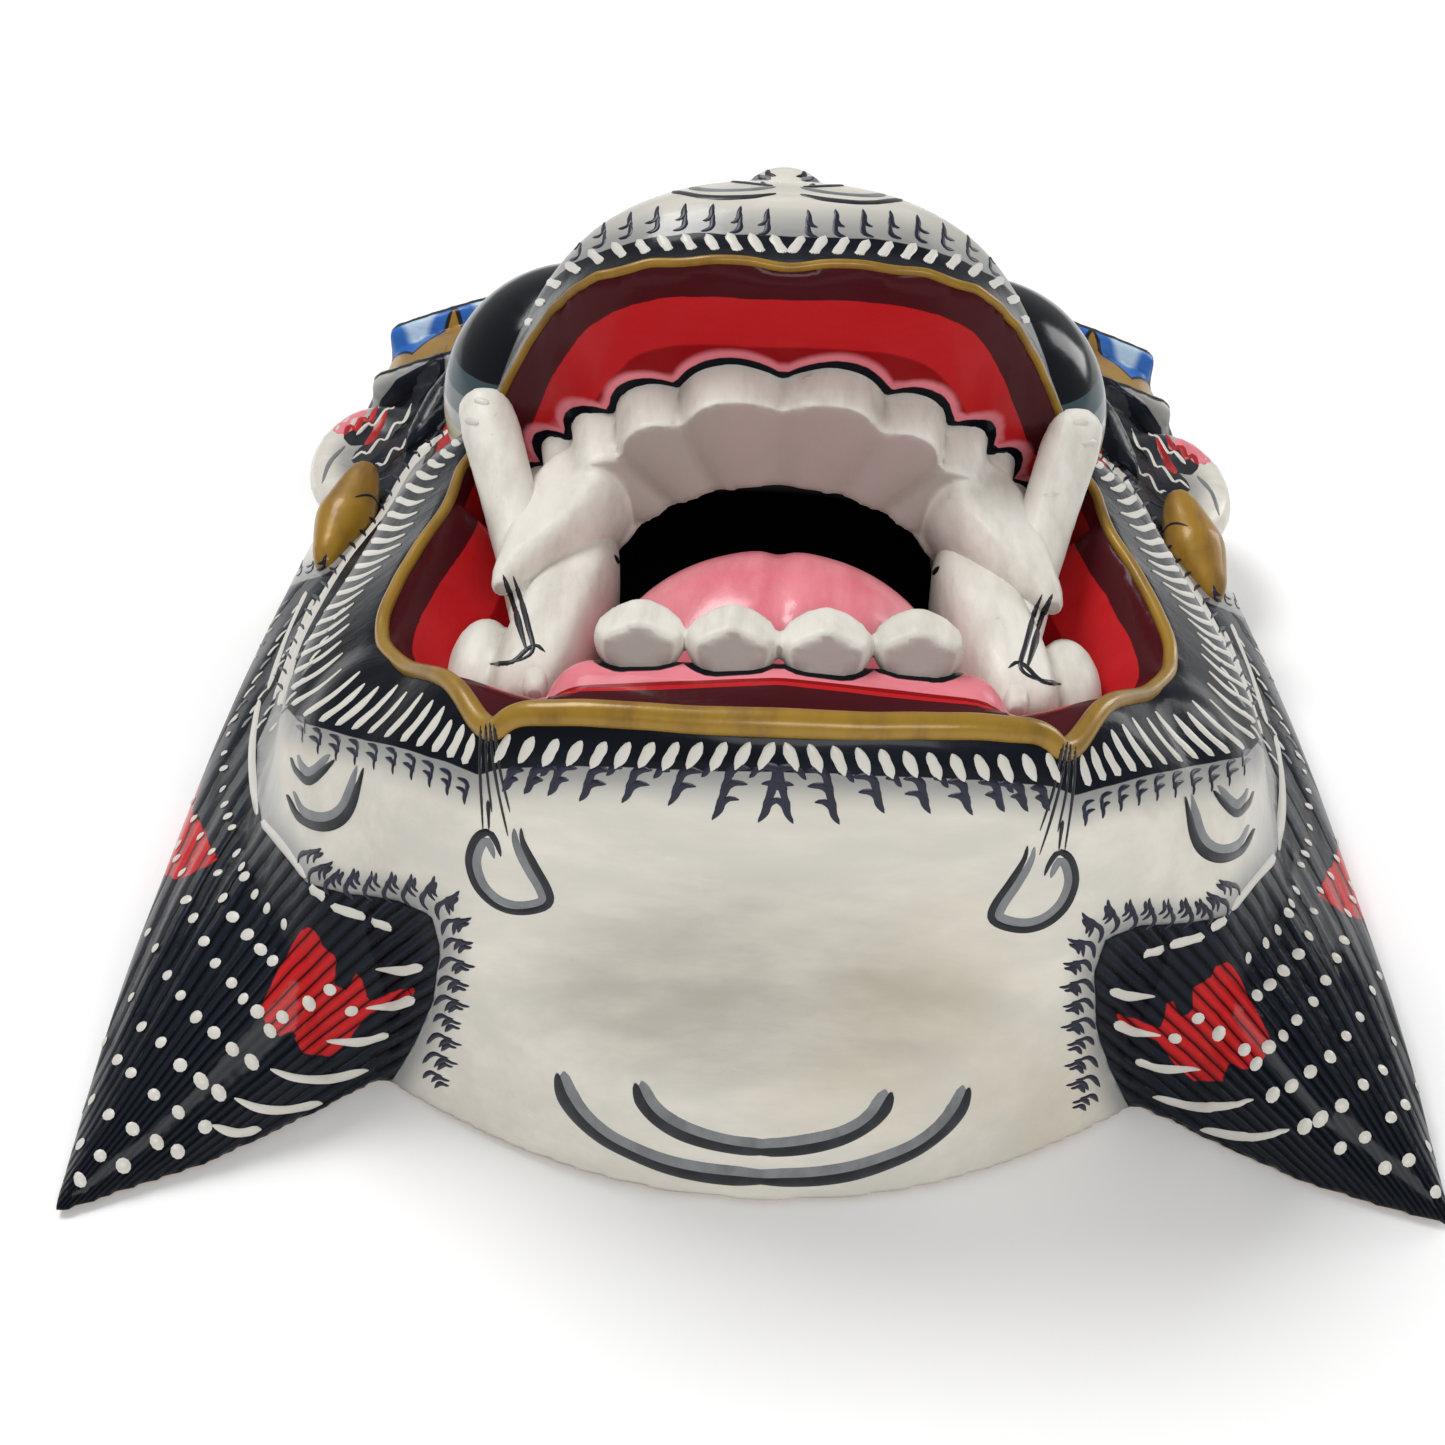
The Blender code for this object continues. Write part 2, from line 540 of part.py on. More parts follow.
def back_plane_cutter():
    """A block below the back plane, which trims the carving flat there."""
    reach = 2.0 * SIDE_HALF_WIDTH
    mesh = bpy.data.meshes.new("back_plane")
    corners = [(sx * reach, sy * reach, z) for z in (-reach, 0.0) for sx, sy in ((-1, -1), (1, -1), (1, 1), (-1, 1))]
    sides = [(3, 2, 1, 0), (4, 5, 6, 7), (0, 1, 5, 4), (1, 2, 6, 5), (2, 3, 7, 6), (3, 0, 4, 7)]
    mesh.from_pydata(corners, [], sides)
    cutter = bpy.data.objects.new("back_plane", mesh)
    bpy.context.collection.objects.link(cutter)
    cutter.hide_render = True
    cutter.display_type = "WIRE"
    return cutter


def make_mask():
    mesh = carved_mesh("mask", CELL)
    mask = bpy.data.objects.new("mask", mesh)
    bpy.context.collection.objects.link(mask)
    mask.data.materials.append(painted_wood())
    thin = mask.modifiers.new("thin", "DECIMATE")
    thin.ratio = min(1.0, MOST_TRIANGLES / (2.0 * len(mesh.polygons)))
    trim = mask.modifiers.new("trim", "BOOLEAN")
    trim.operation = "DIFFERENCE"
    trim.object = back_plane_cutter()
    mesh.shade_smooth()
    return mask


for old in list(bpy.data.objects):
    bpy.data.objects.remove(old)
make_mask()
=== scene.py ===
"""The painted wooden monkey king's mask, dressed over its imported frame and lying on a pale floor.

Metres, +Z up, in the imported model's frame. The carving is the same field as the solid's, skinned finer,
and its brushwork is laid on as thin films of paint."""

import math
import bpy
import numpy as np
from mathutils import Matrix, Vector
from mathutils.bvhtree import BVHTree


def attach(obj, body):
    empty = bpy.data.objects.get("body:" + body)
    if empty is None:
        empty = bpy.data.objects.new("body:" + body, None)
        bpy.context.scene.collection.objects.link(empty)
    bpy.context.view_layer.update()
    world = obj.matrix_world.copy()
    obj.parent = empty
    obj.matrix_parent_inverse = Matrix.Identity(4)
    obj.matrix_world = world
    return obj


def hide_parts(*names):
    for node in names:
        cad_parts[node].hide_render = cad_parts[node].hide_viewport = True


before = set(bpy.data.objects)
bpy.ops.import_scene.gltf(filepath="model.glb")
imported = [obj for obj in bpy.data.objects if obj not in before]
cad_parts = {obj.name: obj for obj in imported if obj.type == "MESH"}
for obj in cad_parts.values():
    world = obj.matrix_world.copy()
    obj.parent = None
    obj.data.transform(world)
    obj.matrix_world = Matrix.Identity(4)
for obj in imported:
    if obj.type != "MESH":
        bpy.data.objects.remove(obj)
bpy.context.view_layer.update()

rng = np.random.default_rng(7)

# Plan of the back rim
CROWN_Y = 0.1172
CROWN_HALF_WIDTH = 0.0845
SIDE_HALF_WIDTH = 0.0955
SIDE_WIDEST_Y = -0.045
BEARD_TIP_Y = -0.1222
SHORT_BEARD_TIP_Y = -0.1146
CHIN_Y = -0.1127
CHIN_NOTCH_X = 0.0545
CHIN_NOTCH_Y = -0.0925

# Face plate: the low dome that carries cheeks, ears, hair and beard
RIM_HEIGHT = 0.010
RIM_ROUNDING = 0.011
DOME_HEIGHT = 0.031
BEARD_FALL = 0.052
BEARD_BELLY = 0.003
MOUND_SKIRT = 0.12

# Lower muzzle, jowls and chin block
MUZZLE_Y, MUZZLE_HALF_WIDTH, MUZZLE_HALF_LENGTH = -0.043, 0.0735, 0.062
MUZZLE_BASE, MUZZLE_TOP = 0.020, 0.062
JOWL_RADIUS = 0.0185
JOWL_CENTRE = (0.0480, -0.0710, 0.0430)
CHIN_BLOCK_HALF_WIDTH, CHIN_BLOCK_HALF_LENGTH, CHIN_TOP = 0.050, 0.046, 0.070
CHIN_LIP_Y = -0.1048
CHIN_HOLLOW, CHIN_HOLLOW_Z = 0.0055, 0.041
CHIN_BULGE, CHIN_BULGE_Z = 0.0040, 0.013

# Snout and nose
SNOUT_Y, SNOUT_HALF_WIDTH, SNOUT_HALF_LENGTH = -0.010, 0.0525, 0.060
SNOUT_BASE, SNOUT_TOP = 0.030, 0.0985
NOSE_Y, NOSE_Z, NOSE_RADIUS = 0.033, 0.0825, 0.0085

# Eyes, brow, crown, ears and ear drops
EYE_X, EYE_Y, EYE_Z, EYE_RADIUS = 0.0365, 0.046, 0.041, 0.0250
LID_RADIUS = 0.0034
BROW_RADIUS = 0.0062
CROWN_BAND = 0.027
CROWN_STEP = 0.003
CROWN_CORNER_HEIGHT = 0.016
CROWN_CENTRE_HEIGHT = 0.034
CROWN_BEAD_RADIUS = 0.0028
EAR_X, EAR_Y, EAR_LENGTH = 0.0800, 0.060, 0.030
DROP_X, DROP_Y, DROP_LENGTH, DROP_RADIUS = 0.0785, 0.0295, 0.0205, 0.0052

# Mouth
LIP_APRON = 0.0135
LIP_APRON_SLOPE = 0.78
SIDE_LIP_RUN = 0.0100
LOWER_LIP_RUN = 0.0050
LOWER_GUM_STEP = 0.018
MOUTH_FLOOR = 0.045
UPPER_TEETH_Y = -0.0300
UPPER_GUM_Y = -0.0040
ARCH_Z = 0.045
ARCH_OUTER_HALF_WIDTH, ARCH_OUTER_HEIGHT = 0.0385, 0.0350
ARCH_INNER_HALF_WIDTH, ARCH_INNER_HEIGHT = 0.0262, 0.0200
LOWER_TOOTH_WIDTH = 0.0128
TONGUE_HALF_WIDTH = 0.0245
TONGUE_TOP = 0.0680

# Hollow back and throat
HOLLOW_RADII = (0.0740, 0.0960, 0.0440)
THROAT_CENTRE = (0.0, -0.0200, 0.0455)
THROAT_RADII = (0.0275, 0.0340, 0.0220)

# Carved locks of the beard
LOCK_DEPTH = 0.0012
LOCKS_PER_RADIAN = 6.0
LOCK_SWEEP = 4.0

# Depth of the chisel's marks in the hollow
CHISEL_DEPTH = 0.00035

# Skinning
MOST_PINCH_PASSES = 12

# The crest of the lips from the middle of the upper lip round to the middle of the lower one: x, y, z
LIP_CREST = np.array([
    (0.0000, -0.0215, 0.0980),
    (0.0160, -0.0200, 0.0973),
    (0.0275, -0.0180, 0.0940),
    (0.0340, -0.0140, 0.0880),
    (0.0395, -0.0105, 0.0785),
    (0.0445, -0.0095, 0.0680),
    (0.0478, -0.0140, 0.0622),
    (0.0500, -0.0300, 0.0610),
    (0.0540, -0.0450, 0.0592),
    (0.0555, -0.0600, 0.0580),
    (0.0515, -0.0710, 0.0588),
    (0.0424, -0.0850, 0.0660),
    (0.0362, -0.0955, 0.0660),
    (0.0310, -0.0975, 0.0703),
    (0.0150, -0.1002, 0.0722),
    (0.0000, -0.1010, 0.0728),
])


# The middle line of one brow: x, y, z
BROW_LINE = [(0.0, 0.068, 0.0530), (0.018, 0.074, 0.0520), (0.040, 0.0765, 0.0450),
             (0.060, 0.066, 0.0330), (0.068, 0.052, 0.0260)]

# The middle lines of one fang and of one tusk, and their radii
FANG_LINE = [(0.0290, -0.0240, 0.0590), (0.0330, -0.0370, 0.0612), (0.0394, -0.0520, 0.0600)]
FANG_RADII = [0.0084, 0.0060, 0.0016]
TUSK_LINE = [(0.0325, -0.0740, 0.0570), (0.0352, -0.0560, 0.0560), (0.0388, -0.0370, 0.0600),
             (0.0452, -0.0180, 0.0700)]
TUSK_RADII = [0.0017, 0.0022, 0.0037, 0.0042]


def smooth_max(a, b, blend):
    """The larger of a and b, rounded over where they are within blend of each other."""
    share = np.clip(0.5 + 0.5 * (a - b) / blend, 0.0, 1.0)
    return b + (a - b) * share + blend * share * (1.0 - share)


def smooth_min(a, b, blend):
    return -smooth_max(-a, -b, blend)


def smooth_step(low, high, value):
    share = np.clip((value - low) / (high - low), 0.0, 1.0)
    return share * share * (3.0 - 2.0 * share)


def ball(x, y, z, centre, radii):
    """Roughly the distance to an ellipsoid."""
    cx, cy, cz = centre
    rx, ry, rz = radii
    reach = np.sqrt(((x - cx) / rx) ** 2 + ((y - cy) / ry) ** 2 + ((z - cz) / rz) ** 2)
    return (reach - 1.0) * min(radii)


def block(x, y, z, centre, radii):
    """Roughly the distance to a pillow: an ellipsoid with fuller corners."""
    power = 3.5
    cx, cy, cz = centre
    rx, ry, rz = radii
    reach = (np.abs((x - cx) / rx) ** power + np.abs((y - cy) / ry) ** power
             + np.abs((z - cz) / rz) ** power) ** (1 / power)
    return (reach - 1.0) * min(radii)


def round_bar(x, y, z, start, end, start_radius, end_radius):
    """Distance to a bar with round ends that tapers from one radius to the other."""
    ax, ay, az = start
    bx, by, bz = (end[i] - start[i] for i in range(3))
    along = ((x - ax) * bx + (y - ay) * by + (z - az) * bz) / (bx * bx + by * by + bz * bz)
    along = np.clip(along, 0.0, 1.0)
    gap = np.sqrt((x - ax - along * bx) ** 2 + (y - ay - along * by) ** 2 + (z - az - along * bz) ** 2)
    return gap - (start_radius + (end_radius - start_radius) * along)


def bar_chain(x, y, z, points, radii, blend):
    """Round bars joined end to end through the points."""
    field = None
    for i in range(len(points) - 1):
        bar = round_bar(x, y, z, points[i], points[i + 1], radii[i], radii[i + 1])
        field = bar if field is None else smooth_min(field, bar, blend)
    return field


def smooth_curve(points, steps):
    """Points along a Catmull-Rom curve through the given ones."""
    ends = np.vstack([2 * points[0] - points[1], points, 2 * points[-1] - points[-2]])
    curve = []
    for i in range(1, len(ends) - 2):
        before, start, end, after = ends[i - 1:i + 3]
        for t in np.arange(steps) / steps:
            curve.append(0.5 * (2 * start + (end - before) * t
                                + (2 * before - 5 * start + 4 * end - after) * t ** 2
                                + (3 * start - before - 3 * end + after) * t ** 3))
    curve.append(points[-1])
    return np.array(curve)


def tapered_curve(x, y, z, line, radii):
    """A round bar along the smooth curve through the points of the line, with a radius for each."""
    steps = 6
    places = np.arange(steps * (len(line) - 1) + 1) / steps
    radii = np.interp(places, np.arange(len(line)), radii)
    return bar_chain(x, y, z, smooth_curve(np.array(line), steps), radii, 0.0016)


def signed_distance_to(x, y, outline):
    """Distance in plan to an open outline that starts and ends on x = 0, negative on its inner side.

    The second result says how far along the outline the nearest point is, in points."""
    nearest = np.full(np.broadcast(x, y).shape, 1e9)
    place = np.zeros_like(nearest)
    inside = np.zeros(nearest.shape, bool)
    for i in range(len(outline) - 1):
        ax, ay = outline[i, :2]
        bx, by = outline[i + 1, :2] - outline[i, :2]
        along = np.clip(((x - ax) * bx + (y - ay) * by) / max(bx * bx + by * by, 1e-12), 0.0, 1.0)
        gap = np.hypot(x - ax - along * bx, y - ay - along * by)
        closer = gap < nearest
        nearest = np.where(closer, gap, nearest)
        place = np.where(closer, i + along, place)
        spans = (ay > y) != (ay + by > y)
        crossing = ax + bx * (y - ay) / (by if abs(by) > 1e-12 else 1e-12)
        inside ^= spans & (x < crossing)
    return np.where(inside, -nearest, nearest), place


def rim_outline(tip_y):
    """Half of the back rim in plan, from the middle of the crown to the middle of the chin."""
    bow = SIDE_HALF_WIDTH - CROWN_HALF_WIDTH
    crown = [(share * CROWN_HALF_WIDTH, CROWN_Y) for share in (0.0, 0.35, 0.7, 0.97)]
    side = []
    for share in np.linspace(0.03, 1.0, 9):
        y = CROWN_Y + share * (SIDE_WIDEST_Y - CROWN_Y)
        side.append((CROWN_HALF_WIDTH + bow * np.sin(0.5 * np.pi * share), y))
    beard = [(SIDE_HALF_WIDTH, 0.5 * (SIDE_WIDEST_Y + tip_y)),
             (SIDE_HALF_WIDTH, tip_y),
             (0.5 * (SIDE_HALF_WIDTH + CHIN_NOTCH_X), 0.45 * tip_y + 0.55 * CHIN_NOTCH_Y - BEARD_BELLY)]
    chin = []
    for share in np.linspace(1.0, 0.0, 16):
        chin.append((share * CHIN_NOTCH_X, CHIN_Y + (CHIN_NOTCH_Y - CHIN_Y) * share ** 2))
    return np.array(crown + side + beard + chin)


def rim_half_width(y):
    """Half-width of the back rim at y, between crown and beard tip."""
    share = np.clip((CROWN_Y - y) / (CROWN_Y - SIDE_WIDEST_Y), 0.0, 1.0)
    return CROWN_HALF_WIDTH + (SIDE_HALF_WIDTH - CROWN_HALF_WIDTH) * np.sin(0.5 * np.pi * share)


def mound(x, y, centre_y, half_width, half_length, base, top, squareness, crest):
    """Height of a rounded block: flat-topped for a high crest, boxy in plan for a high squareness."""
    reach = (np.abs(x / half_width) ** squareness
             + np.abs((y - centre_y) / half_length) ** squareness) ** (1.0 / squareness)
    dome = np.sqrt(np.clip(1.0 - reach ** crest, 0.0, 1.0))
    return base + (top - base) * dome - MOUND_SKIRT * np.clip(reach - 1.0, 0.0, 1.0)


def beard_locks(x, y):
    """Depth of the carved grooves that sweep through the beard to its tip."""
    over, up = SIDE_HALF_WIDTH + 0.002 - x, y - BEARD_TIP_Y + 0.004
    turn = np.arctan2(over, up)
    phase = 2 * np.pi * LOCKS_PER_RADIAN * (turn + LOCK_SWEEP * np.hypot(over, up) ** 2)
    grooves = np.abs(np.sin(0.5 * phase)) ** 0.7 - 0.75
    reach = np.hypot(x / MUZZLE_HALF_WIDTH, (y - MUZZLE_Y) / (MUZZLE_HALF_LENGTH + 0.008))
    where = smooth_step(0.98, 1.10, reach) * smooth_step(0.030, 0.0, y) * smooth_step(0.050, 0.058, x)
    fade = smooth_step(0.012, 0.040, np.hypot(over, up))
    return LOCK_DEPTH * grooves * where * fade


def face_height(x, y, crest_gap, crest_height):
    """Height of the carved front over the back plane, in plan, as if the mouth were filled to its lips."""
    side = x / rim_half_width(y)
    fall = smooth_step(BEARD_TIP_Y - 0.01, BEARD_TIP_Y + BEARD_FALL, y)
    plate = RIM_HEIGHT * (0.4 + 0.6 * fall) + DOME_HEIGHT * fall * np.clip(1.0 - side ** 2.5, 0.0, 1.0)
    plate = plate + beard_locks(x, y)
    muzzle = MUZZLE_Y, MUZZLE_HALF_WIDTH, MUZZLE_HALF_LENGTH, MUZZLE_BASE, MUZZLE_TOP, 2.6, 4.0
    chin = CHIN_LIP_Y, CHIN_BLOCK_HALF_WIDTH, CHIN_BLOCK_HALF_LENGTH, MUZZLE_BASE, CHIN_TOP, 4.0, 4.0
    snout = SNOUT_Y, SNOUT_HALF_WIDTH, SNOUT_HALF_LENGTH, SNOUT_BASE, SNOUT_TOP, 2.4, 3.0
    height = plate
    for block, blend in ((muzzle, 0.004), (chin, 0.004), (snout, 0.005)):
        height = smooth_max(height, mound(x, y, *block), blend)
    band = CROWN_STEP + crown_arch(x)
    in_band = smooth_step(CROWN_Y - CROWN_BAND - 0.0025, CROWN_Y - CROWN_BAND + 0.0005, y)
    height = height * (1.0 - in_band) + band * in_band
    apron = crest_height - LIP_APRON_SLOPE * np.clip(crest_gap, 0.0, 1.0)
    near = smooth_step(LIP_APRON + 0.010, LIP_APRON - 0.002, crest_gap)
    height = height * (1.0 - near) + smooth_max(apron, height - 0.004, 0.003) * near
    return np.where(crest_gap < 0.0, crest_height, height)


def crown_arch(x):
    """Height of the crown band across the brow, before the step up to it."""
    rise = CROWN_CENTRE_HEIGHT - CROWN_CORNER_HEIGHT
    return CROWN_CORNER_HEIGHT + rise * (1.0 - (x / CROWN_HALF_WIDTH) ** 2)


def mouth_floor(y, crest_gap, crest_height):
    """Height of the gums and of the lips' inner slopes, in plan.

    The upper lip has no slope: it is a cliff."""
    run = SIDE_LIP_RUN + (LOWER_LIP_RUN - SIDE_LIP_RUN) * smooth_step(-0.086, -0.095, y)
    floor = MOUTH_FLOOR + LOWER_GUM_STEP * smooth_step(-0.073, -0.088, y)
    slope = np.exp(-((np.clip(-crest_gap, 0.0, 1.0) / run) ** 1.4))
    return floor + (crest_height - floor) * slope * (1.0 - upper_lip_share(y))


def upper_lip_share(y):
    return smooth_step(-0.030, -0.016, y)


def plan_fields(x, y):
    """Over the plan: distances to the rim and to the lip crest, heights of the front and the mouth's floor.

    The beard on the +X side is cut a little shorter, and all else is the same on both sides."""
    left, _ = signed_distance_to(np.abs(x), y, rim_outline(BEARD_TIP_Y))
    right, _ = signed_distance_to(np.abs(x), y, rim_outline(SHORT_BEARD_TIP_Y))
    rim = np.where(x < 0.0, left, right)
    x = np.abs(x)
    crest = smooth_curve(LIP_CREST, 6)
    gap, place = signed_distance_to(x, y, crest)
    height = np.interp(place.ravel(), np.arange(len(crest)), crest[:, 2]).reshape(place.shape)
    return rim, gap, face_height(x, y, gap, height), mouth_floor(y, gap, height)


def chin_wall(x, z):
    """How far forward the front of the chin stands at each height: bulge below, hollow above."""
    arc = (CHIN_NOTCH_Y - CHIN_Y) * (x / CHIN_NOTCH_X) ** 2
    lean = np.clip(z / CHIN_TOP, 0.0, 1.1)
    wall = CHIN_Y + (CHIN_LIP_Y - CHIN_Y) * lean + arc * (1.0 - 0.55 * lean)
    middle = np.exp(-((x / 0.034) ** 4))
    wall = wall + CHIN_HOLLOW * middle * np.exp(-(((z - CHIN_HOLLOW_Z) / 0.017) ** 2))
    wall = wall - CHIN_BULGE * middle * np.exp(-(((z - CHIN_BULGE_Z) / 0.012) ** 2))
    return wall - 3.0 * np.clip(x - CHIN_NOTCH_X + 0.006 * lean, 0.0, 1.0)


def features(x, y, z):
    """Jowls, nose, eye beds, lids, brows, crown beads and ears."""
    field = ball(x, y, z, JOWL_CENTRE, (JOWL_RADIUS, JOWL_RADIUS, 0.9 * JOWL_RADIUS))
    nose = ball(x, y, z, (0.0, NOSE_Y, NOSE_Z), (NOSE_RADIUS, 1.1 * NOSE_RADIUS, NOSE_RADIUS))
    wing = ball(x, y, z, (0.95 * NOSE_RADIUS, NOSE_Y - 0.001, NOSE_Z - 0.003),
                (0.7 * NOSE_RADIUS, 0.8 * NOSE_RADIUS, 0.75 * NOSE_RADIUS))
    bridge = round_bar(x, y, z, (0.0, NOSE_Y, NOSE_Z - 0.003), (0.0, 0.070, 0.048), 0.008, 0.009)
    nose = smooth_min(smooth_min(nose, wing, 0.003), bridge, 0.005)
    forehead = ball(x, y, z, (0.0, 0.072, 0.018), (0.066, 0.034, 0.030))
    brow = tapered_curve(x, y, z, BROW_LINE, BROW_RADIUS * np.array([1.0, 1.15, 1.0, 0.8, 0.5]))
    bed = EYE_RADIUS - 0.001
    eye = ball(x, y, z, (EYE_X, EYE_Y, EYE_Z), (bed, bed, bed))
    lid_plane = EYE_Z + 0.10 * (y - EYE_Y) - 0.35 * (x - EYE_X) - 0.004
    ring = np.hypot(np.hypot(x - EYE_X, y - EYE_Y) - EYE_RADIUS, z - lid_plane) - LID_RADIUS
    for form, blend in ((nose, 0.003), (forehead, 0.004), (brow, 0.003), (eye, 0.0008), (ring, 0.001)):
        field = smooth_min(field, form, blend)
    for y_bead in (CROWN_Y - CROWN_BAND + 0.0015, CROWN_Y - 0.5 * CROWN_BEAD_RADIUS):
        bead = np.hypot(y - y_bead, z - crown_arch(x) - CROWN_STEP) - CROWN_BEAD_RADIUS
        field = smooth_min(field, np.maximum(bead, x - CROWN_HALF_WIDTH + 0.001), 0.0008)
    ear_bed = ball(x, y, z, (EAR_X, EAR_Y, 0.0150), (0.0095, 0.5 * EAR_LENGTH, 0.0062))
    field = smooth_min(field, ear_bed, 0.002)
    ear_reach = np.hypot((x - EAR_X + 0.0015) / 0.0085, (y - EAR_Y) / (0.5 * EAR_LENGTH))
    ear = np.hypot((ear_reach - 1.0) * 0.0085, (z - 0.0185) * 0.9) - 0.0036
    field = smooth_min(field, ear, 0.002)
    return field


def ear_drops(x, y, z):
    drop_line = [(DROP_X - 0.002, DROP_Y + 0.5 * DROP_LENGTH, 0.0270), (DROP_X, DROP_Y, 0.0225),
                 (DROP_X + 0.002, DROP_Y - 0.5 * DROP_LENGTH, 0.0200)]
    return tapered_curve(x, y, z, drop_line, DROP_RADIUS * np.array([0.5, 1.0, 0.4]))


def above(height, z, cell):
    """Roughly the distance above a surface whose height is given in plan."""
    slope_x, slope_y = np.gradient(height, cell)
    steepness = np.sqrt(1.0 + np.minimum(np.hypot(slope_x, slope_y), 6.0) ** 2)
    return (z - height[..., None]) / steepness[..., None]


def without_pinches(field, cell):
    """The field with wood added at the few grid points where its surface would touch itself."""
    for _ in range(MOST_PINCH_PASSES):
        inside = field < 0
        pinched = np.zeros_like(inside)
        for axis in range(3):
            grid = np.moveaxis(inside, axis, 2)
            marks = np.moveaxis(pinched, axis, 2)
            a, b, c, d = grid[:-1, :-1], grid[1:, :-1], grid[:-1, 1:], grid[1:, 1:]
            crossed = (a == d) & (b == c) & (a != b)
            for corner in (marks[:-1, :-1], marks[1:, :-1], marks[:-1, 1:], marks[1:, 1:]):
                corner |= crossed
        size = np.array(field.shape) - 1
        corners = [(i, j, k) for i in (0, 1) for j in (0, 1) for k in (0, 1)]
        at = [tuple(slice(n, size[m] + n) for m, n in enumerate(corner)) for corner in corners]
        filled = sum(inside[place].astype(np.int8) for place in at)
        for first in range(4):
            pair = at[first], at[7 - first]
            for count, wood in ((2, True), (6, False)):
                lone = (filled == count) & (inside[pair[0]] == wood) & (inside[pair[1]] == wood)
                for place in at:
                    pinched[place] |= lone
        extra = pinched & ~inside
        if not extra.any():
            break
        field = np.where(extra, -0.05 * cell, field)
    return field


def skin(field, low, cell):
    """Points and four-sided faces of the surface where the field crosses zero.

    Each grid cell that the surface passes through gives one point, at the mean of the crossings on its edges,
    and each crossed grid edge gives the face between the four cells around it."""
    size = np.array(field.shape) - 1
    total = np.zeros((*size, 3), np.float32)
    count = np.zeros(size, np.int8)
    corner = {}
    for i in (0, 1):
        for j in (0, 1):
            for k in (0, 1):
                corner[i, j, k] = field[i:size[0] + i, j:size[1] + j, k:size[2] + k]
    for start in corner:
        for axis in range(3):
            if start[axis]:
                continue
            end = tuple(1 if n == axis else start[n] for n in range(3))
            a, b = corner[start], corner[end]
            crossed = (a < 0) != (b < 0)
            share = np.where(crossed, a / np.where(crossed, a - b, 1.0), 0.0)
            for n in range(3):
                total[..., n] += np.where(crossed, start[n] + (share if n == axis else 0.0), 0.0)
            count += crossed
    used = count > 0
    cells = np.argwhere(used)
    points = low + cell * (cells + total[used] / count[used][:, None])
    index = np.full(size, -1)
    index[used] = np.arange(len(cells))
    faces = []
    for axis in range(3):
        side, other = (axis + 1) % 3, (axis + 2) % 3
        a = np.moveaxis(field, (axis, side, other), (0, 1, 2))
        cell_index = np.moveaxis(index, (axis, side, other), (0, 1, 2))
        inside = a[:, 1:-1, 1:-1] < 0
        for leaving in (True, False):
            crossed = (inside[:-1] == leaving) & (inside[1:] != leaving)
            i, j, k = np.nonzero(crossed)
            ring = [cell_index[i, j, k], cell_index[i, j + 1, k],
                    cell_index[i, j + 1, k + 1], cell_index[i, j, k + 1]]
            faces.append(np.stack(ring if leaving else ring[::-1], axis=1))
    return points, np.concatenate(faces)


# Cells of the skinned pieces
CARVING_CELL = 0.00146
TOOTH_CELL = 0.0008
MARGIN = 0.006


def upper_teeth(x, y, z):
    turn = np.arctan2(x / ARCH_OUTER_HALF_WIDTH, (z - ARCH_Z) / ARCH_OUTER_HEIGHT)
    between = 1.0 - np.abs(np.sin(np.pi * (1.75 * turn + 1.30 * turn ** 2))) ** 0.7
    outer = np.hypot(x / ARCH_OUTER_HALF_WIDTH, (z - ARCH_Z) / ARCH_OUTER_HEIGHT)
    inner = np.hypot(x / ARCH_INNER_HALF_WIDTH, (z - ARCH_Z) / ARCH_INNER_HEIGHT)
    face = (outer - 1.0 + 0.085 * between) * ARCH_OUTER_HEIGHT + 0.16 * (UPPER_TEETH_Y - y)
    arch = smooth_max(face, (1.0 - inner) * ARCH_INNER_HEIGHT, 0.0007)
    arch = smooth_max(arch, UPPER_TEETH_Y + 0.0012 * between - y, 0.0005)
    arch = np.maximum(np.maximum(arch, y - UPPER_GUM_Y), ARCH_Z - 0.004 - z)
    fang = tapered_curve(x, y, z, FANG_LINE, FANG_RADII)
    fang = smooth_max(fang, 0.92 * (z - 0.0655) + 0.30 * (np.abs(x) - 0.033), 0.0006)
    return smooth_min(arch, fang, 0.0012)


def lower_teeth(x, y, z):
    field = None
    for i in range(2):
        centre = ((i + 0.5) * 0.95 * LOWER_TOOTH_WIDTH, -0.0785 + 0.0015 * i, 0.0686 - 0.0006 * i)
        tooth = ball(x, y, z, centre, (0.475 * LOWER_TOOTH_WIDTH, 0.0056, 0.0050))
        tooth = smooth_max(tooth, 0.86 * (z - centre[2]) + 0.34 * np.abs(x - centre[0]) - 0.0034, 0.0003)
        tooth = smooth_max(tooth, 0.45 * (z - centre[2]) - 0.89 * (y - centre[1]) - 0.0036, 0.0003)
        field = tooth if field is None else smooth_min(field, tooth, 0.0003)
    return field


def side_teeth(x, y, z):
    side = block(x + 0.14 * (y + 0.0430), y, z, (0.0300, -0.0520, 0.0505), (0.0060, 0.0230, 0.0104))
    outer_tooth = ball(x, y, z, (0.0415, -0.0610, 0.0510), (0.0048, 0.0105, 0.0060))
    return smooth_min(side, outer_tooth, 0.001)


def tusks(x, y, z):
    post = tapered_curve(x, y, z, TUSK_LINE, TUSK_RADII)
    return smooth_max(post, y - TUSK_LINE[3][1] - 0.0010, 0.0006)


def tongue(x, y, z):
    body = ball(x, y, z, (0.0, -0.060, TONGUE_TOP - 0.018), (TONGUE_HALF_WIDTH, 0.0215, 0.018))
    groove = 0.0007 * np.exp(-(x / 0.0016) ** 2)
    return body + groove


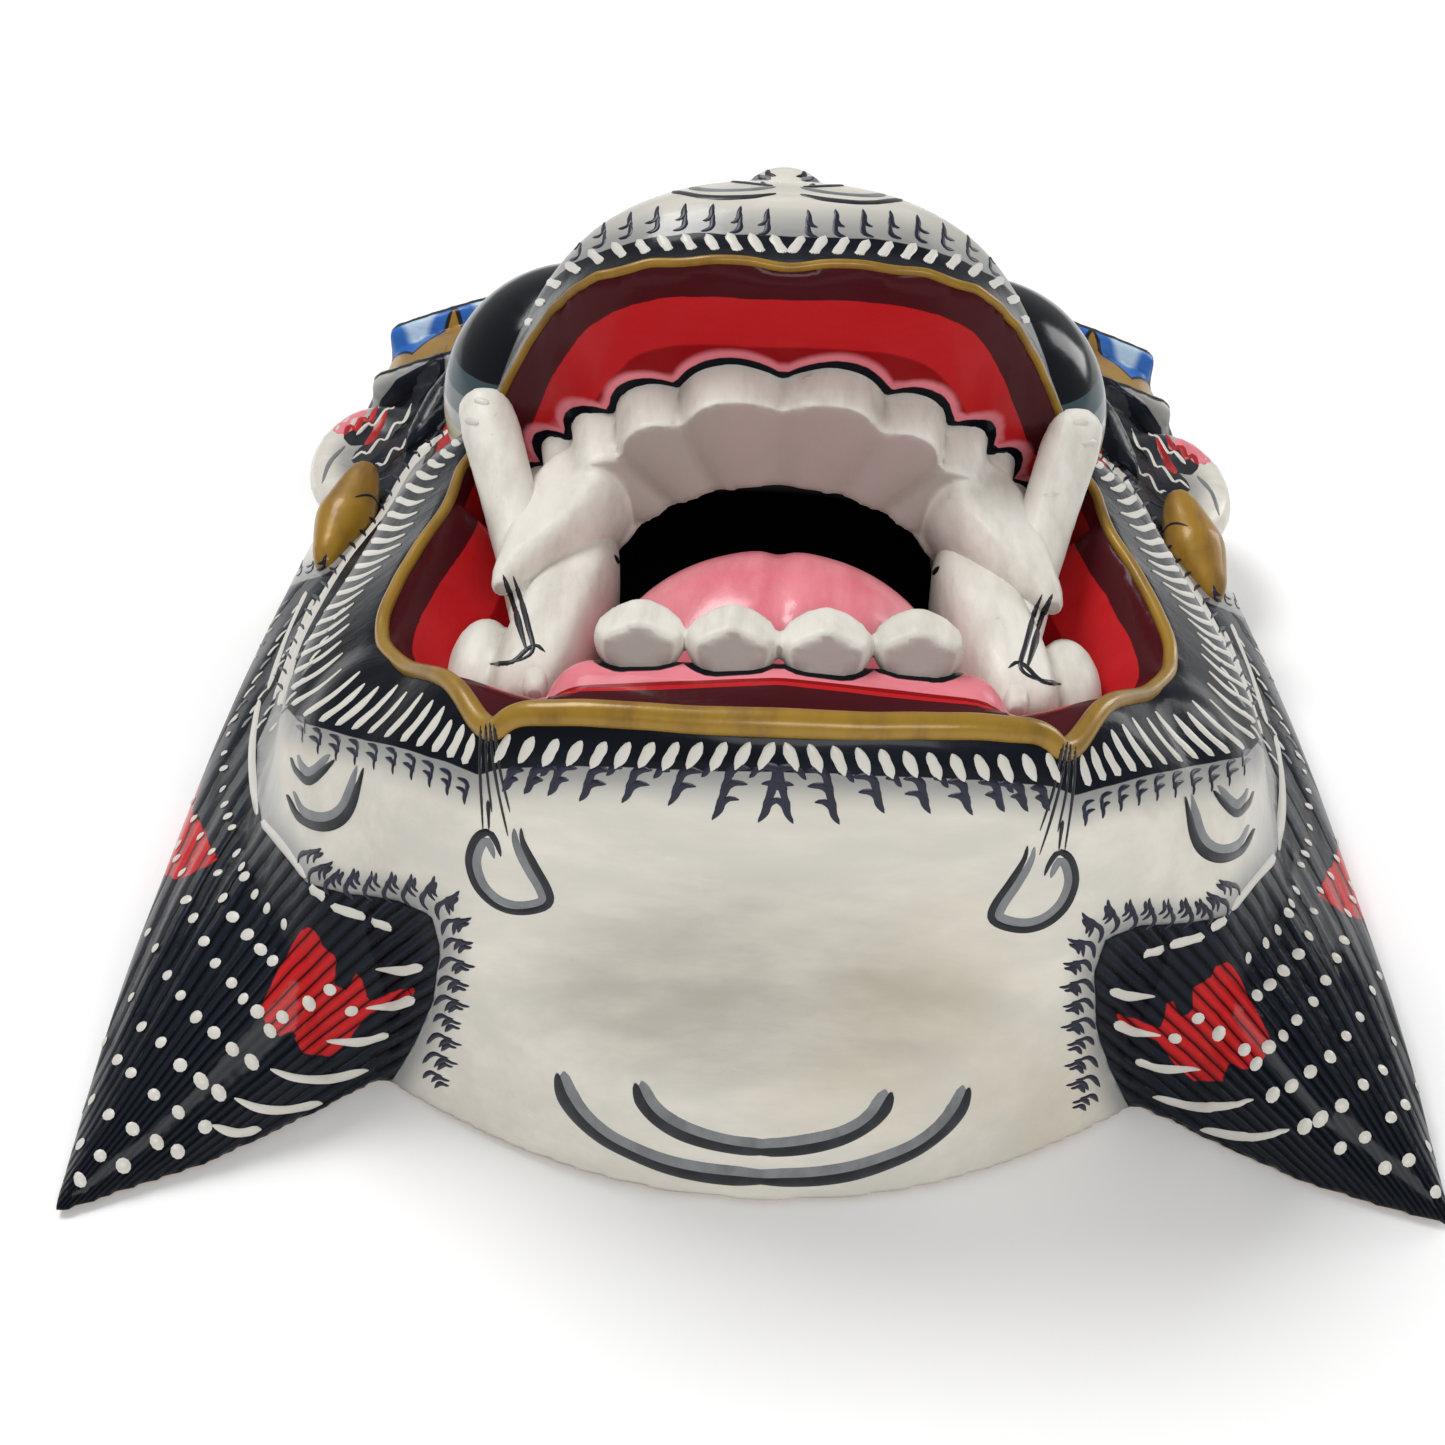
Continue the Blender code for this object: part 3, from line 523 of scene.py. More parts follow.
def lower_gum(x, y, z):
    return round_bar(x, y, z, (0.0, -0.0838, 0.0610), (0.024, -0.0818, 0.0600), 0.0068, 0.0062)


def hollow(x, y, z):
    return ball(x, y, z, (0.0, 0.0, 0.0), HOLLOW_RADII)


def throat(x, y, z):
    return ball(x, y, z, THROAT_CENTRE, THROAT_RADII)


def carving(x, y, z):
    """The block of wood without its teeth, tongue and eyeballs."""
    rim, crest_gap, height, floor = plan_fields(x[..., 0], y[..., 0])
    side_x = np.abs(x)
    cell = y[0, 1, 0] - y[0, 0, 0]
    body = smooth_max(above(height, z, cell), rim[..., None], RIM_ROUNDING)
    body = smooth_max(body, chin_wall(side_x, z) - y, 0.004)
    body = smooth_min(body, features(side_x, y, z), 0.0015)
    body = smooth_max(body, np.minimum(-crest_gap[..., None], above(floor, z, cell)), 0.0010)
    body = smooth_min(body, lower_gum(side_x, y, z), 0.002)
    bitten = upper_teeth(side_x, np.maximum(y, UPPER_TEETH_Y + 0.004), z) + 0.0012
    body = np.maximum(body, np.minimum(-bitten, y + 0.045))
    body = smooth_max(body, -throat(x, y, z), 0.002)
    chisel = CHISEL_DEPTH * np.sin(x * 520.0 + 2.0 * np.sin(y * 95.0))
    chisel = chisel * np.sin(y * 230.0 + 1.7 * np.sin(x * 120.0))
    body = smooth_max(body, -(hollow(x, y, z) + chisel), 0.0015)
    return np.maximum(body, -z)


def relaxed(points, faces, passes):
    """The points smoothed a little, with no loss of volume."""
    ends = np.concatenate([faces[:, [0, 1]], faces[:, [1, 2]], faces[:, [2, 3]], faces[:, [3, 0]]])
    ends = np.concatenate([ends, ends[:, ::-1]])
    count = np.bincount(ends[:, 0], minlength=len(points))[:, None]
    for step in [0.5, -0.52] * passes:
        sums = [np.bincount(ends[:, 0], points[ends[:, 1], n], len(points)) for n in range(3)]
        points = points + step * (np.stack(sums, axis=1) / count - points)
    return points


def skinned(field_of, low, high, cell, passes=1):
    """Points and faces of a field's skin within the box."""
    low, high = np.array(low), np.array(high)
    steps = np.ceil((high - low) / cell).astype(int) + 1
    x, y, z = np.meshgrid(*[low[n] + cell * np.arange(steps[n]) for n in range(3)], indexing="ij")
    field = without_pinches(field_of(x, y, z), cell).astype(np.float32)
    points, faces = skin(field, low, cell)
    return relaxed(points, faces, passes), faces


def new_piece(name, points, faces, material):
    """A mesh that rides on the frame's body, with the given material."""
    mesh = bpy.data.meshes.new(name)
    corners = [tuple(map(float, point)) for point in points]
    mesh.from_pydata(corners, [], [tuple(map(int, face)) for face in faces])
    mesh.validate()
    mesh.shade_smooth()
    piece = bpy.data.objects.new(name, mesh)
    bpy.context.collection.objects.link(piece)
    mesh.materials.append(material)
    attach(piece, "root")
    return piece


def set_number(piece, name, values):
    """Stores one number for each point, for the material to read."""
    layer = piece.data.attributes.new(name, "FLOAT", "POINT")
    layer.data.foreach_set("value", np.asarray(values, np.float32))


# The photo's camera: place, pitch, roll and focal length in pixels of the 1445-pixel frame
PHOTO = 1445
FOCAL = 2100.0
EYE = np.array([-0.0056, -0.3085, 0.217])
PITCH = math.radians(35.0)
ROLL = math.radians(2.0)
CENTRE_X = 733.5

AHEAD = np.array([0.0, math.cos(PITCH), -math.sin(PITCH)])
LEVEL_RIGHT = np.array([1.0, 0.0, 0.0])
LEVEL_UP = np.cross(LEVEL_RIGHT, AHEAD)
RIGHT = math.cos(ROLL) * LEVEL_RIGHT + math.sin(ROLL) * LEVEL_UP
UP = -math.sin(ROLL) * LEVEL_RIGHT + math.cos(ROLL) * LEVEL_UP


def make_camera():
    data = bpy.data.cameras.new("camera")
    data.sensor_width = 36.0
    data.lens = 36.0 * FOCAL / PHOTO
    data.shift_x = -(CENTRE_X - 0.5 * PHOTO) / PHOTO
    camera = bpy.data.objects.new("camera", data)
    bpy.context.collection.objects.link(camera)
    columns = np.stack([RIGHT, UP, -AHEAD, EYE], axis=1)
    camera.matrix_world = Matrix([*columns.tolist(), (0.0, 0.0, 0.0, 1.0)])
    bpy.context.scene.camera = camera


def area_light(name, place, target, size, power, colour=(1.0, 1.0, 1.0)):
    data = bpy.data.lights.new(name, "AREA")
    data.shape = "RECTANGLE"
    data.size, data.size_y = size
    data.energy = power
    data.color = colour
    light = bpy.data.objects.new(name, data)
    bpy.context.collection.objects.link(light)
    light.location = place
    light.rotation_euler = (Vector(target) - Vector(place)).to_track_quat("-Z", "Y").to_euler()


def make_stage():
    floor = bpy.data.meshes.new("floor")
    floor.from_pydata([(-4, -4, 0), (4, -4, 0), (4, 4, 0), (-4, 4, 0)], [], [(0, 1, 2, 3)])
    piece = bpy.data.objects.new("floor", floor)
    bpy.context.collection.objects.link(piece)
    piece.location.z = -0.0004
    material = bpy.data.materials.new("floor")
    material.use_nodes = True
    shader = material.node_tree.nodes["Principled BSDF"]
    nodes, links = material.node_tree.nodes, material.node_tree.links
    under = nodes.new("ShaderNodeMapping")
    under.inputs["Scale"].default_value = (1.0 / HOLLOW_RADII[0], 1.0 / HOLLOW_RADII[1], 1.0)
    away = nodes.new("ShaderNodeVectorMath")
    away.operation = "LENGTH"
    shadow = nodes.new("ShaderNodeMapRange")
    for name, value in (("From Min", 0.92), ("From Max", 1.0), ("To Min", 0.002), ("To Max", 0.93)):
        shadow.inputs[name].default_value = value
    links.new(nodes.new("ShaderNodeTexCoord").outputs["Object"], under.inputs["Vector"])
    links.new(under.outputs["Vector"], away.inputs[0])
    links.new(away.outputs["Value"], shadow.inputs["Value"])
    links.new(shadow.outputs["Result"], shader.inputs["Base Color"])
    shader.inputs["Roughness"].default_value = 0.9
    shader.inputs["Specular IOR Level"].default_value = 0.1
    floor.materials.append(material)
    world = bpy.data.worlds.new("world")
    world.use_nodes = True
    world.node_tree.nodes["Background"].inputs["Color"].default_value = (1.0, 1.0, 1.0, 1.0)
    world.node_tree.nodes["Background"].inputs["Strength"].default_value = 0.36
    bpy.context.scene.world = world
    area_light("key", (-0.45, 0.35, 0.95), (0, 0, 0.04), (0.55, 0.40), 8.0)
    area_light("front", (0.16, -0.90, 0.62), (0, -0.04, 0.04), (0.6, 0.30), 5.0)
    area_light("rim", (0.75, 0.55, 0.35), (0, 0, 0.04), (0.25, 0.5), 2.5)
    bpy.context.scene.view_settings.view_transform = "Standard"


def photo_ray(px, py):
    ray = AHEAD * FOCAL + RIGHT * (px - CENTRE_X) - UP * (py - 0.5 * PHOTO)
    return ray / np.linalg.norm(ray)


def photo_place(points):
    """Where points fall in the photo's frame, in its pixels, with y down."""
    away = points - EYE
    depth = away @ AHEAD
    return CENTRE_X + FOCAL * (away @ RIGHT) / depth, 0.5 * PHOTO - FOCAL * (away @ UP) / depth


# Brushwork
PAINT_HEIGHT = 0.00013
STROKE_STEP = 0.0007
SHORT_STROKE_STEPS = 10
SHORTEST_STROKE = 0.0006
FARTHEST_FROM_WOOD = 0.0025
PROFILE = np.array([(-0.5, -0.35), (-0.34, 0.75), (0.0, 1.0), (0.34, 0.75), (0.5, -0.35)])

painted = {}
wood = None


def pixels(text):
    """Places in the photo's frame, written x,y x,y ..."""
    return np.array([[float(v) for v in pair.split(",")] for pair in text.split()])


def curve_2d(places, step=2.0):
    """Evenly spaced places along a smooth curve through the given ones, which may be a text of pixels."""
    points = pixels(places) if isinstance(places, str) else np.asarray(places, float)
    if len(points) > 2:
        points = smooth_curve(points, 8)
    return resampled(points, step)


def resampled(points, step):
    runs = np.linalg.norm(np.diff(points, axis=0), axis=1)
    along = np.concatenate([[0.0], np.cumsum(runs)])
    count = max(2, int(round(along[-1] / step)) + 1)
    places = np.linspace(0.0, along[-1], count)
    return np.stack([np.interp(places, along, points[:, n]) for n in range(points.shape[1])], axis=1)


def struck(rays):
    """The points of the mask that rays strike first, each ray a start and a direction."""
    hits = [wood.ray_cast(Vector(start), Vector(way))[0] for start, way in rays]
    return np.array([tuple(hit) for hit in hits if hit is not None])


def on_wood(places):
    """The points of the mask that the places in the photo's frame show."""
    return struck((EYE, photo_ray(px, py)) for px, py in places)


def from_above(places):
    """The points of the mask's front under places in plan."""
    return struck(((x, y, 0.2), (0.0, 0.0, -1.0)) for x, y in places)


def unbroken(points, gap=0.006):
    """The longest run of the points with no jump from one part of the mask to another."""
    jumps = np.nonzero(np.linalg.norm(np.diff(points, axis=0), axis=1) > gap)[0] + 1
    return max(np.split(points, jumps), key=len)


def lay(group, centre, width, lift, taper):
    """One film of paint along the points."""
    centre = unbroken(centre)
    length = np.linalg.norm(np.diff(centre, axis=0), axis=1).sum()
    if length < SHORTEST_STROKE:
        return
    centre = resampled(centre, min(STROKE_STEP, length / SHORT_STROKE_STEPS))
    rows = []
    tangents = np.gradient(centre, axis=0)
    shares = np.linspace(0.0, 1.0, len(centre))
    ends = (np.clip(shares / max(taper[0], 1e-4), 0.0, 1.0)
            * np.clip((1.0 - shares) / max(taper[1], 1e-4), 0.0, 1.0))
    unevenness = 1.0 + 0.08 * np.sin(9.0 * shares + centre[0, 0] * 900.0)
    widths = width * (0.12 + 0.88 * np.sqrt(ends)) * unevenness
    for point, tangent, wide in zip(centre, tangents, widths):
        place, normal, _, away = wood.find_nearest(Vector(point))
        if place is None or away > FARTHEST_FROM_WOOD:
            return
        across = normal.cross(Vector(tangent)).normalized()
        row = []
        for over, height in PROFILE:
            spot, facing, _, _ = wood.find_nearest(place + across * (over * wide))
            row.append(spot + facing * (lift + height * PAINT_HEIGHT))
        rows.append(row)
    points, faces = painted.setdefault(group, ([], []))
    first, size = len(points), len(PROFILE)
    for row in rows:
        points.extend(tuple(p) for p in row)
    for i in range(len(rows) - 1):
        for j in range(size - 1):
            a = first + i * size + j
            faces.append((a, a + size, a + size + 1, a + 1))


def stroke(group, centre, width, lift=0.0, taper=(0.15, 0.3)):
    """A brush stroke on the wood and its mirror image on the other side."""
    if len(centre) > 1:
        lay(group, centre, width, lift, taper)
        lay(group, (centre * (-1.0, 1.0, 1.0))[::-1], width, lift, taper[::-1])


def brush(group, places, width, **kinds):
    """A stroke through places in the photo's frame."""
    stroke(group, on_wood(curve_2d(places)), width, **kinds)


def dot(group, point, radius, lift=0.0, stretch=1.0):
    """A round dab of paint and its mirror image."""
    for side in (1.0, -1.0):
        place, normal, _, away = wood.find_nearest(Vector((side * point[0], point[1], point[2])))
        if place is None or away > FARTHEST_FROM_WOOD:
            continue
        first_axis = normal.cross(Vector((side * 0.6, 0.8, 0.0))).normalized() * stretch
        second_axis = normal.cross(first_axis).normalized()
        points, faces = painted.setdefault(group, ([], []))
        first = len(points)
        points.append(tuple(place + normal * (lift + 1.5 * PAINT_HEIGHT)))
        for reach, height in ((0.6, 1.2), (1.0, -0.3)):
            for k in range(10):
                turn = 2.0 * math.pi * k / 10
                aside = first_axis * math.cos(turn) + second_axis * math.sin(turn)
                spot, facing, _, _ = wood.find_nearest(place + aside * (radius * reach))
                points.append(tuple(spot + facing * (lift + height * PAINT_HEIGHT)))
        for k in range(10):
            a, b = first + 1 + k, first + 1 + (k + 1) % 10
            faces.append((first, a, b))
            faces.append((a, a + 10, b + 10, b))


# Paint colours, as linear light
WHITE = (0.58, 0.56, 0.50)
TOOTH = (0.70, 0.68, 0.62)
BLACK = (0.004, 0.005, 0.008)
NAVY = (0.006, 0.007, 0.020)
GREY = (0.20, 0.21, 0.22)
GOLD = (0.33, 0.18, 0.014)
MAROON = (0.058, 0.007, 0.010)
RED = (0.46, 0.016, 0.019)
DEEP_RED = (0.24, 0.005, 0.007)
PINK = (0.72, 0.22, 0.26)
CREAM = (0.62, 0.57, 0.40)
SLATE = (0.045, 0.075, 0.09)
BLUE = (0.02, 0.12, 0.42)
WOOD = (0.36, 0.21, 0.105)

# Each paint of the brushwork and its darker streaks
INKS = {"white": (WHITE, (0.60, 0.58, 0.55)), "navy": (NAVY, (0.012, 0.014, 0.035)),
        "black": (BLACK, (0.02, 0.022, 0.03)), "grey": (GREY, (0.12, 0.125, 0.13)),
        "red": (RED, DEEP_RED), "pink": (PINK, (0.60, 0.15, 0.18))}


class Look:
    """A material's node tree, built up socket by socket."""

    def __init__(self, name):
        self.material = bpy.data.materials.new(name)
        self.material.use_nodes = True
        self.nodes = self.material.node_tree.nodes
        self.links = self.material.node_tree.links
        self.shader = self.nodes["Principled BSDF"]
        self.shader.inputs["Specular IOR Level"].default_value = 0.30

    def put(self, socket, value):
        if isinstance(value, bpy.types.NodeSocket):
            self.links.new(value, socket)
        elif isinstance(value, tuple) and len(value) == 3 and socket.type == "RGBA":
            socket.default_value = (*value, 1.0)
        else:
            socket.default_value = value

    def number(self, name):
        node = self.nodes.new("ShaderNodeAttribute")
        node.attribute_name = name
        return node.outputs["Fac"]

    def place(self):
        return self.nodes.new("ShaderNodeTexCoord").outputs["Object"]

    def stretched(self, scale):
        node = self.nodes.new("ShaderNodeMapping")
        node.inputs["Scale"].default_value = scale
        self.links.new(self.place(), node.inputs["Vector"])
        return node.outputs["Vector"]

    def noise(self, scale, detail=4.0, roughness=0.55, vector=None):
        node = self.nodes.new("ShaderNodeTexNoise")
        node.inputs["Scale"].default_value = scale
        node.inputs["Detail"].default_value = detail
        node.inputs["Roughness"].default_value = roughness
        self.links.new(vector or self.place(), node.inputs["Vector"])
        return node.outputs["Fac"]

    def math(self, operation, a, b=0.0, c=0.0):
        node = self.nodes.new("ShaderNodeMath")
        node.operation = operation
        for socket, value in zip(node.inputs, (a, b, c)):
            self.put(socket, value)
        return node.outputs[0]

    def times(self, a, b):
        return self.math("MULTIPLY", a, b)

    def uneven(self, value, wobble, size):
        """The value, moved up and down by the wobble."""
        return self.math("MULTIPLY_ADD", wobble, size, self.math("ADD", value, -0.5 * size))

    def ramp(self, value, low, high, out_low=0.0, out_high=1.0):
        node = self.nodes.new("ShaderNodeMapRange")
        node.interpolation_type = "SMOOTHSTEP"
        for name, number in (("Value", value), ("From Min", low), ("From Max", high),
                             ("To Min", out_low), ("To Max", out_high)):
            self.put(node.inputs[name], number)
        return node.outputs["Result"]

    def fall(self, value, low, high):
        return self.ramp(value, low, high, 1.0, 0.0)

    def mix(self, share, a, b):
        node = self.nodes.new("ShaderNodeMix")
        node.data_type = "RGBA"
        self.put(node.inputs["Factor"], share)
        self.put(node.inputs["A"], a)
        self.put(node.inputs["B"], b)
        return node.outputs["Result"]

    def hollows(self, low=0.42, high=0.50):
        """One in creases and nought on open faces."""
        return self.ramp(self.nodes.new("ShaderNodeNewGeometry").outputs["Pointiness"], low, high, 1.0, 0.0)

    def finish(self, colour, roughness, bumps, gloss=0.25):
        """Sets colour, roughness and a chain of bumps, each (height, strength, distance)."""
        self.put(self.shader.inputs["Base Color"], colour)
        self.put(self.shader.inputs["Roughness"], roughness)
        self.shader.inputs["Coat Weight"].default_value = gloss
        self.shader.inputs["Coat Roughness"].default_value = 0.12
        normal = None
        for height, strength, distance in bumps:
            node = self.nodes.new("ShaderNodeBump")
            node.inputs["Strength"].default_value = strength
            node.inputs["Distance"].default_value = distance
            self.links.new(height, node.inputs["Height"])
            if normal:
                self.links.new(normal, node.inputs["Normal"])
            normal = node.outputs["Normal"]
        if normal:
            self.links.new(normal, self.shader.inputs["Normal"])
        return self.material


def lacquer(name, colour, shade, roughness=0.32, gloss=0.3, dirt_and_shade=0.35, metallic=0.0):
    """Hand-laid enamel: streaky, a little uneven, with stains in clouds, and painted shade darkening its
    creases.
    """
    look = Look(name)
    streaks = look.noise(260.0, 5.0, 0.6, look.stretched((1.0, 0.25, 0.5)))
    clouds = look.noise(38.0, 3.0)
    tone = look.mix(look.ramp(streaks, 0.35, 0.75), colour, shade)
    stains = look.times(look.ramp(clouds, 0.50, 0.72), dirt_and_shade)
    tone = look.mix(stains, tone, tuple(0.55 * c for c in shade))
    # Painted shade: darker paint in the creases, where shade falls.
    creases = look.times(look.hollows(), dirt_and_shade)
    tone = look.mix(creases, tone, tuple(0.35 * c for c in shade))
    look.shader.inputs["Metallic"].default_value = metallic
    fine = look.noise(900.0, 3.0)
    return look.finish(tone, look.ramp(clouds, 0.3, 0.7, roughness - 0.06, roughness + 0.12),
                       [(streaks, 0.35, 0.00035), (fine, 0.25, 0.00012)], gloss)


def tooth_look():
    """Matt ivory white with brown specks; the flat undersides that face the chin are greyer and browner, as
    painted shade with some dirt, and the creases carry painted shade.
    """
    look = Look("painted_teeth")
    streaks = look.noise(240.0, 5.0, 0.6, look.stretched((1.0, 0.3, 0.6)))
    clouds = look.noise(45.0, 4.0)
    spots = look.noise(170.0, 6.0, 0.7)
    facing = look.nodes.new("ShaderNodeSeparateXYZ")
    look.links.new(look.nodes.new("ShaderNodeNewGeometry").outputs["Normal"], facing.inputs[0])
    # Painted shade with some dirt: faces turned towards the chin get a greyer, browner tone.
    under = look.fall(facing.outputs["Y"], -0.92, -0.70)
    tone = look.mix(look.ramp(streaks, 0.35, 0.75), TOOTH, (0.55, 0.52, 0.46))
    underside_shade_and_dirt = look.mix(look.ramp(clouds, 0.4, 0.65), (0.37, 0.335, 0.30), (0.40, 0.33, 0.31))
    tone = look.mix(under, tone, underside_shade_and_dirt)
    tone = look.mix(look.ramp(spots, 0.64, 0.74, 0.0, 0.45), tone, (0.34, 0.27, 0.18))
    # Painted shade in the teeth's creases.
    tone = look.mix(look.times(look.hollows(0.42, 0.50), 0.5), tone, (0.20, 0.16, 0.12))
    look.shader.inputs["Specular IOR Level"].default_value = 0.22
    fine = look.noise(700.0, 4.0, 0.65)
    return look.finish(tone, look.ramp(clouds, 0.3, 0.7, 0.42, 0.58),
                       [(clouds, 0.35, 0.0008), (streaks, 0.45, 0.0004), (fine, 0.35, 0.00016)], 0.06)


# Borders of the painted areas in the photo's frame, on its left half. The other half is their mirror image.
FRINGE = pixels("800,237 700,233 655,237 610,248 572,264 543,287 520,315 505,348 497,380 470,415 "
                "455,428 414,464 383,515 347,561 317,610 296,653 283,705 300,722 345,735 400,748 "
                "445,762 478,775 500,768 560,766 700,770 800,772 800,237")
HAIR = pixels("228,640 262,600 300,582 330,572 361,545 361,485 356,457 377,439 380,401 396,380 424,364 "
              "445,346 447,400 453,424 408,468 377,520 341,564 311,610 290,652 275,700 258,745 256,790 "
              "262,820 279,845 307,882 345,893 400,900 432,915 441,950 434,1000 415,1045 380,1100 "
              "300,1200 37,1300 -200,1300 -200,600 228,640")
LIP_SIDE = pixels("469,444 457,472 444,502 424,536 404,561 383,592 376,617 383,638 399,653 447,668 "
                  "466,686 484,716")
RIDGE = np.vstack([(460.0, 421.0), FRINGE[11:22]])
FLOWERS = [pixels("213,727 203,740 197,762 200,785 192,812 205,838 218,858 200,866 186,875 164,876 "
                  "150,868 147,845 152,815 160,790 170,765 185,742 213,727"),
           pixels("304,927 318,933 322,948 338,958 335,985 345,990 362,965 366,1000 412,990 405,1006 "
                  "372,1014 362,1022 345,1040 330,1052 300,1050 296,1030 280,1038 266,1030 256,1010 "
                  "270,985 286,958 304,927")]
LOCK_CENTRE = np.array([-40.0, 1310.0])
LOCK_PHASE = 250.0
METRES_PER_PIXEL = 0.0002
CHIN_CENTRE = (757.0, 985.0)
CHIN_REACH = (230.0, 105.0)

# Widths of the maroon and of the red band in from the lips' crest, by the place along it in its points
BAND_PLACES = [0, 3, 5, 8, 10, 12, 15]
MAROON_WIDTHS = [0.0062, 0.0066, 0.0064, 0.0058, 0.0048, 0.0040, 0.0038]
RED_WIDTHS = [0.0078, 0.0078, 0.0080, 0.0090, 0.0050, 0.0018, 0.0016]

# Where the fringe ends on the snout, and where the gum ends and its red band starts behind the lower lip
FRINGE_BACK_Y = 0.026
LOWER_LIP_Y = -0.0860
LOWER_RED_WIDTH = 0.0006

# How far the walls under the lips take the mouth's paint, and how much of the upper lip keeps the fringe's
WALL_DEPTH = 0.006
UPPER_LIP_EDGE = 0.0011

# The gilt line along the crest: its smoothing passes, and its radii by the place along it
LIP_SMOOTHING = 18
LIP_PLACES = [0, 5, 6, 9, 11, 12, 15]
LIP_RADII = [0.0007, 0.0007, 0.0008, 0.0010, 0.0013, 0.0016, 0.0019]


def crest_depths(points):
    """How deep each point lies in from the lips' crest, counted in bands of paint: maroon, red and pink."""
    crest = smooth_curve(LIP_CREST, 4)
    folded = points.copy()
    folded[:, 0] = np.abs(folded[:, 0])
    nearest = np.full(len(points), 1e9)
    place = np.zeros(len(points))
    for i in range(len(crest) - 1):
        run = crest[i + 1] - crest[i]
        along = np.clip((folded - crest[i]) @ run / (run @ run), 0.0, 1.0)
        gap = np.linalg.norm(folded - crest[i] - along[:, None] * run, axis=1)
        closer = gap < nearest
        nearest = np.where(closer, gap, nearest)
        place = np.where(closer, (i + along) / 4.0, place)
    maroon = np.interp(place, BAND_PLACES, MAROON_WIDTHS)
    red = np.interp(place, BAND_PLACES, RED_WIDTHS)
    return np.where(nearest < maroon, nearest / maroon, 1.0 + (nearest - maroon) / red)


def carving_numbers(piece, points):
    """Stores where each point lies against the borders of the painted areas."""
    folded = points.copy()
    folded[:, 0] = -np.abs(folded[:, 0])
    px, py = photo_place(folded)
    fringe = signed_distance_to(px, py, FRINGE)[0] * METRES_PER_PIXEL
    set_number(piece, "fringe", np.maximum(fringe, 0.6 * (points[:, 1] - FRINGE_BACK_Y)))
    set_number(piece, "hair", signed_distance_to(px, py, HAIR)[0] * METRES_PER_PIXEL)
    flower = np.minimum(*(signed_distance_to(px, py, outline)[0] for outline in FLOWERS))
    set_number(piece, "flower", flower * METRES_PER_PIXEL)
    reach = np.hypot(px - LOCK_CENTRE[0], LOCK_CENTRE[1] - py)
    turn = np.arctan2(LOCK_CENTRE[1] - py, px - LOCK_CENTRE[0])
    set_number(piece, "lock", LOCK_PHASE * (turn + 0.5e-6 * (reach - 500.0) ** 2))
    x, y, z = points.T
    crest = smooth_curve(LIP_CREST, 6)
    gap, right, up = (signed_distance_to(np.abs(x) + over, y + rise, crest)[0]
                      for over, rise in ((0.0, 0.0), (0.0005, 0.0), (0.0, 0.0005)))
    facing = np.empty(3 * len(points), np.float32)
    piece.data.vertex_normals.foreach_get("vector", facing)
    facing = facing.reshape(-1, 3)
    inward = -(np.sign(x) * facing[:, 0] * (right - gap) + facing[:, 1] * (up - gap)) / 0.0005
    wall = (inward > 0.3) & (facing[:, 2] < 0.35) & (gap < WALL_DEPTH)
    top = (z > 0.066) & (y > -0.03)
    set_number(piece, "lips", np.where(wall, gap - WALL_DEPTH, gap - UPPER_LIP_EDGE * top))
    set_number(piece, "chin", ((px - CHIN_CENTRE[0]) / CHIN_REACH[0]) ** 2
               + ((py - CHIN_CENTRE[1]) / CHIN_REACH[1]) ** 2)
    set_number(piece, "teeth", upper_teeth(np.abs(x), y, z))
    set_number(piece, "jaw", lower_teeth(np.abs(x), y, z))
    lower_lip = 1.0 + (y - LOWER_LIP_Y) / LOWER_RED_WIDTH
    set_number(piece, "depth", np.minimum(crest_depths(points), lower_lip))
    set_number(piece, "back", np.minimum(hollow(x, y, z), z + 0.0008))
    set_number(piece, "throat", np.where((z > 0.024) & (y < 0.02), throat(x, y, z), 0.02))
    eye_gap = np.sqrt((np.abs(x) - EYE_X) ** 2 + (y - EYE_Y) ** 2 + (z - EYE_Z) ** 2) - EYE_RADIUS
    set_number(piece, "eye", eye_gap)
    set_number(piece, "crown", CROWN_Y - y)


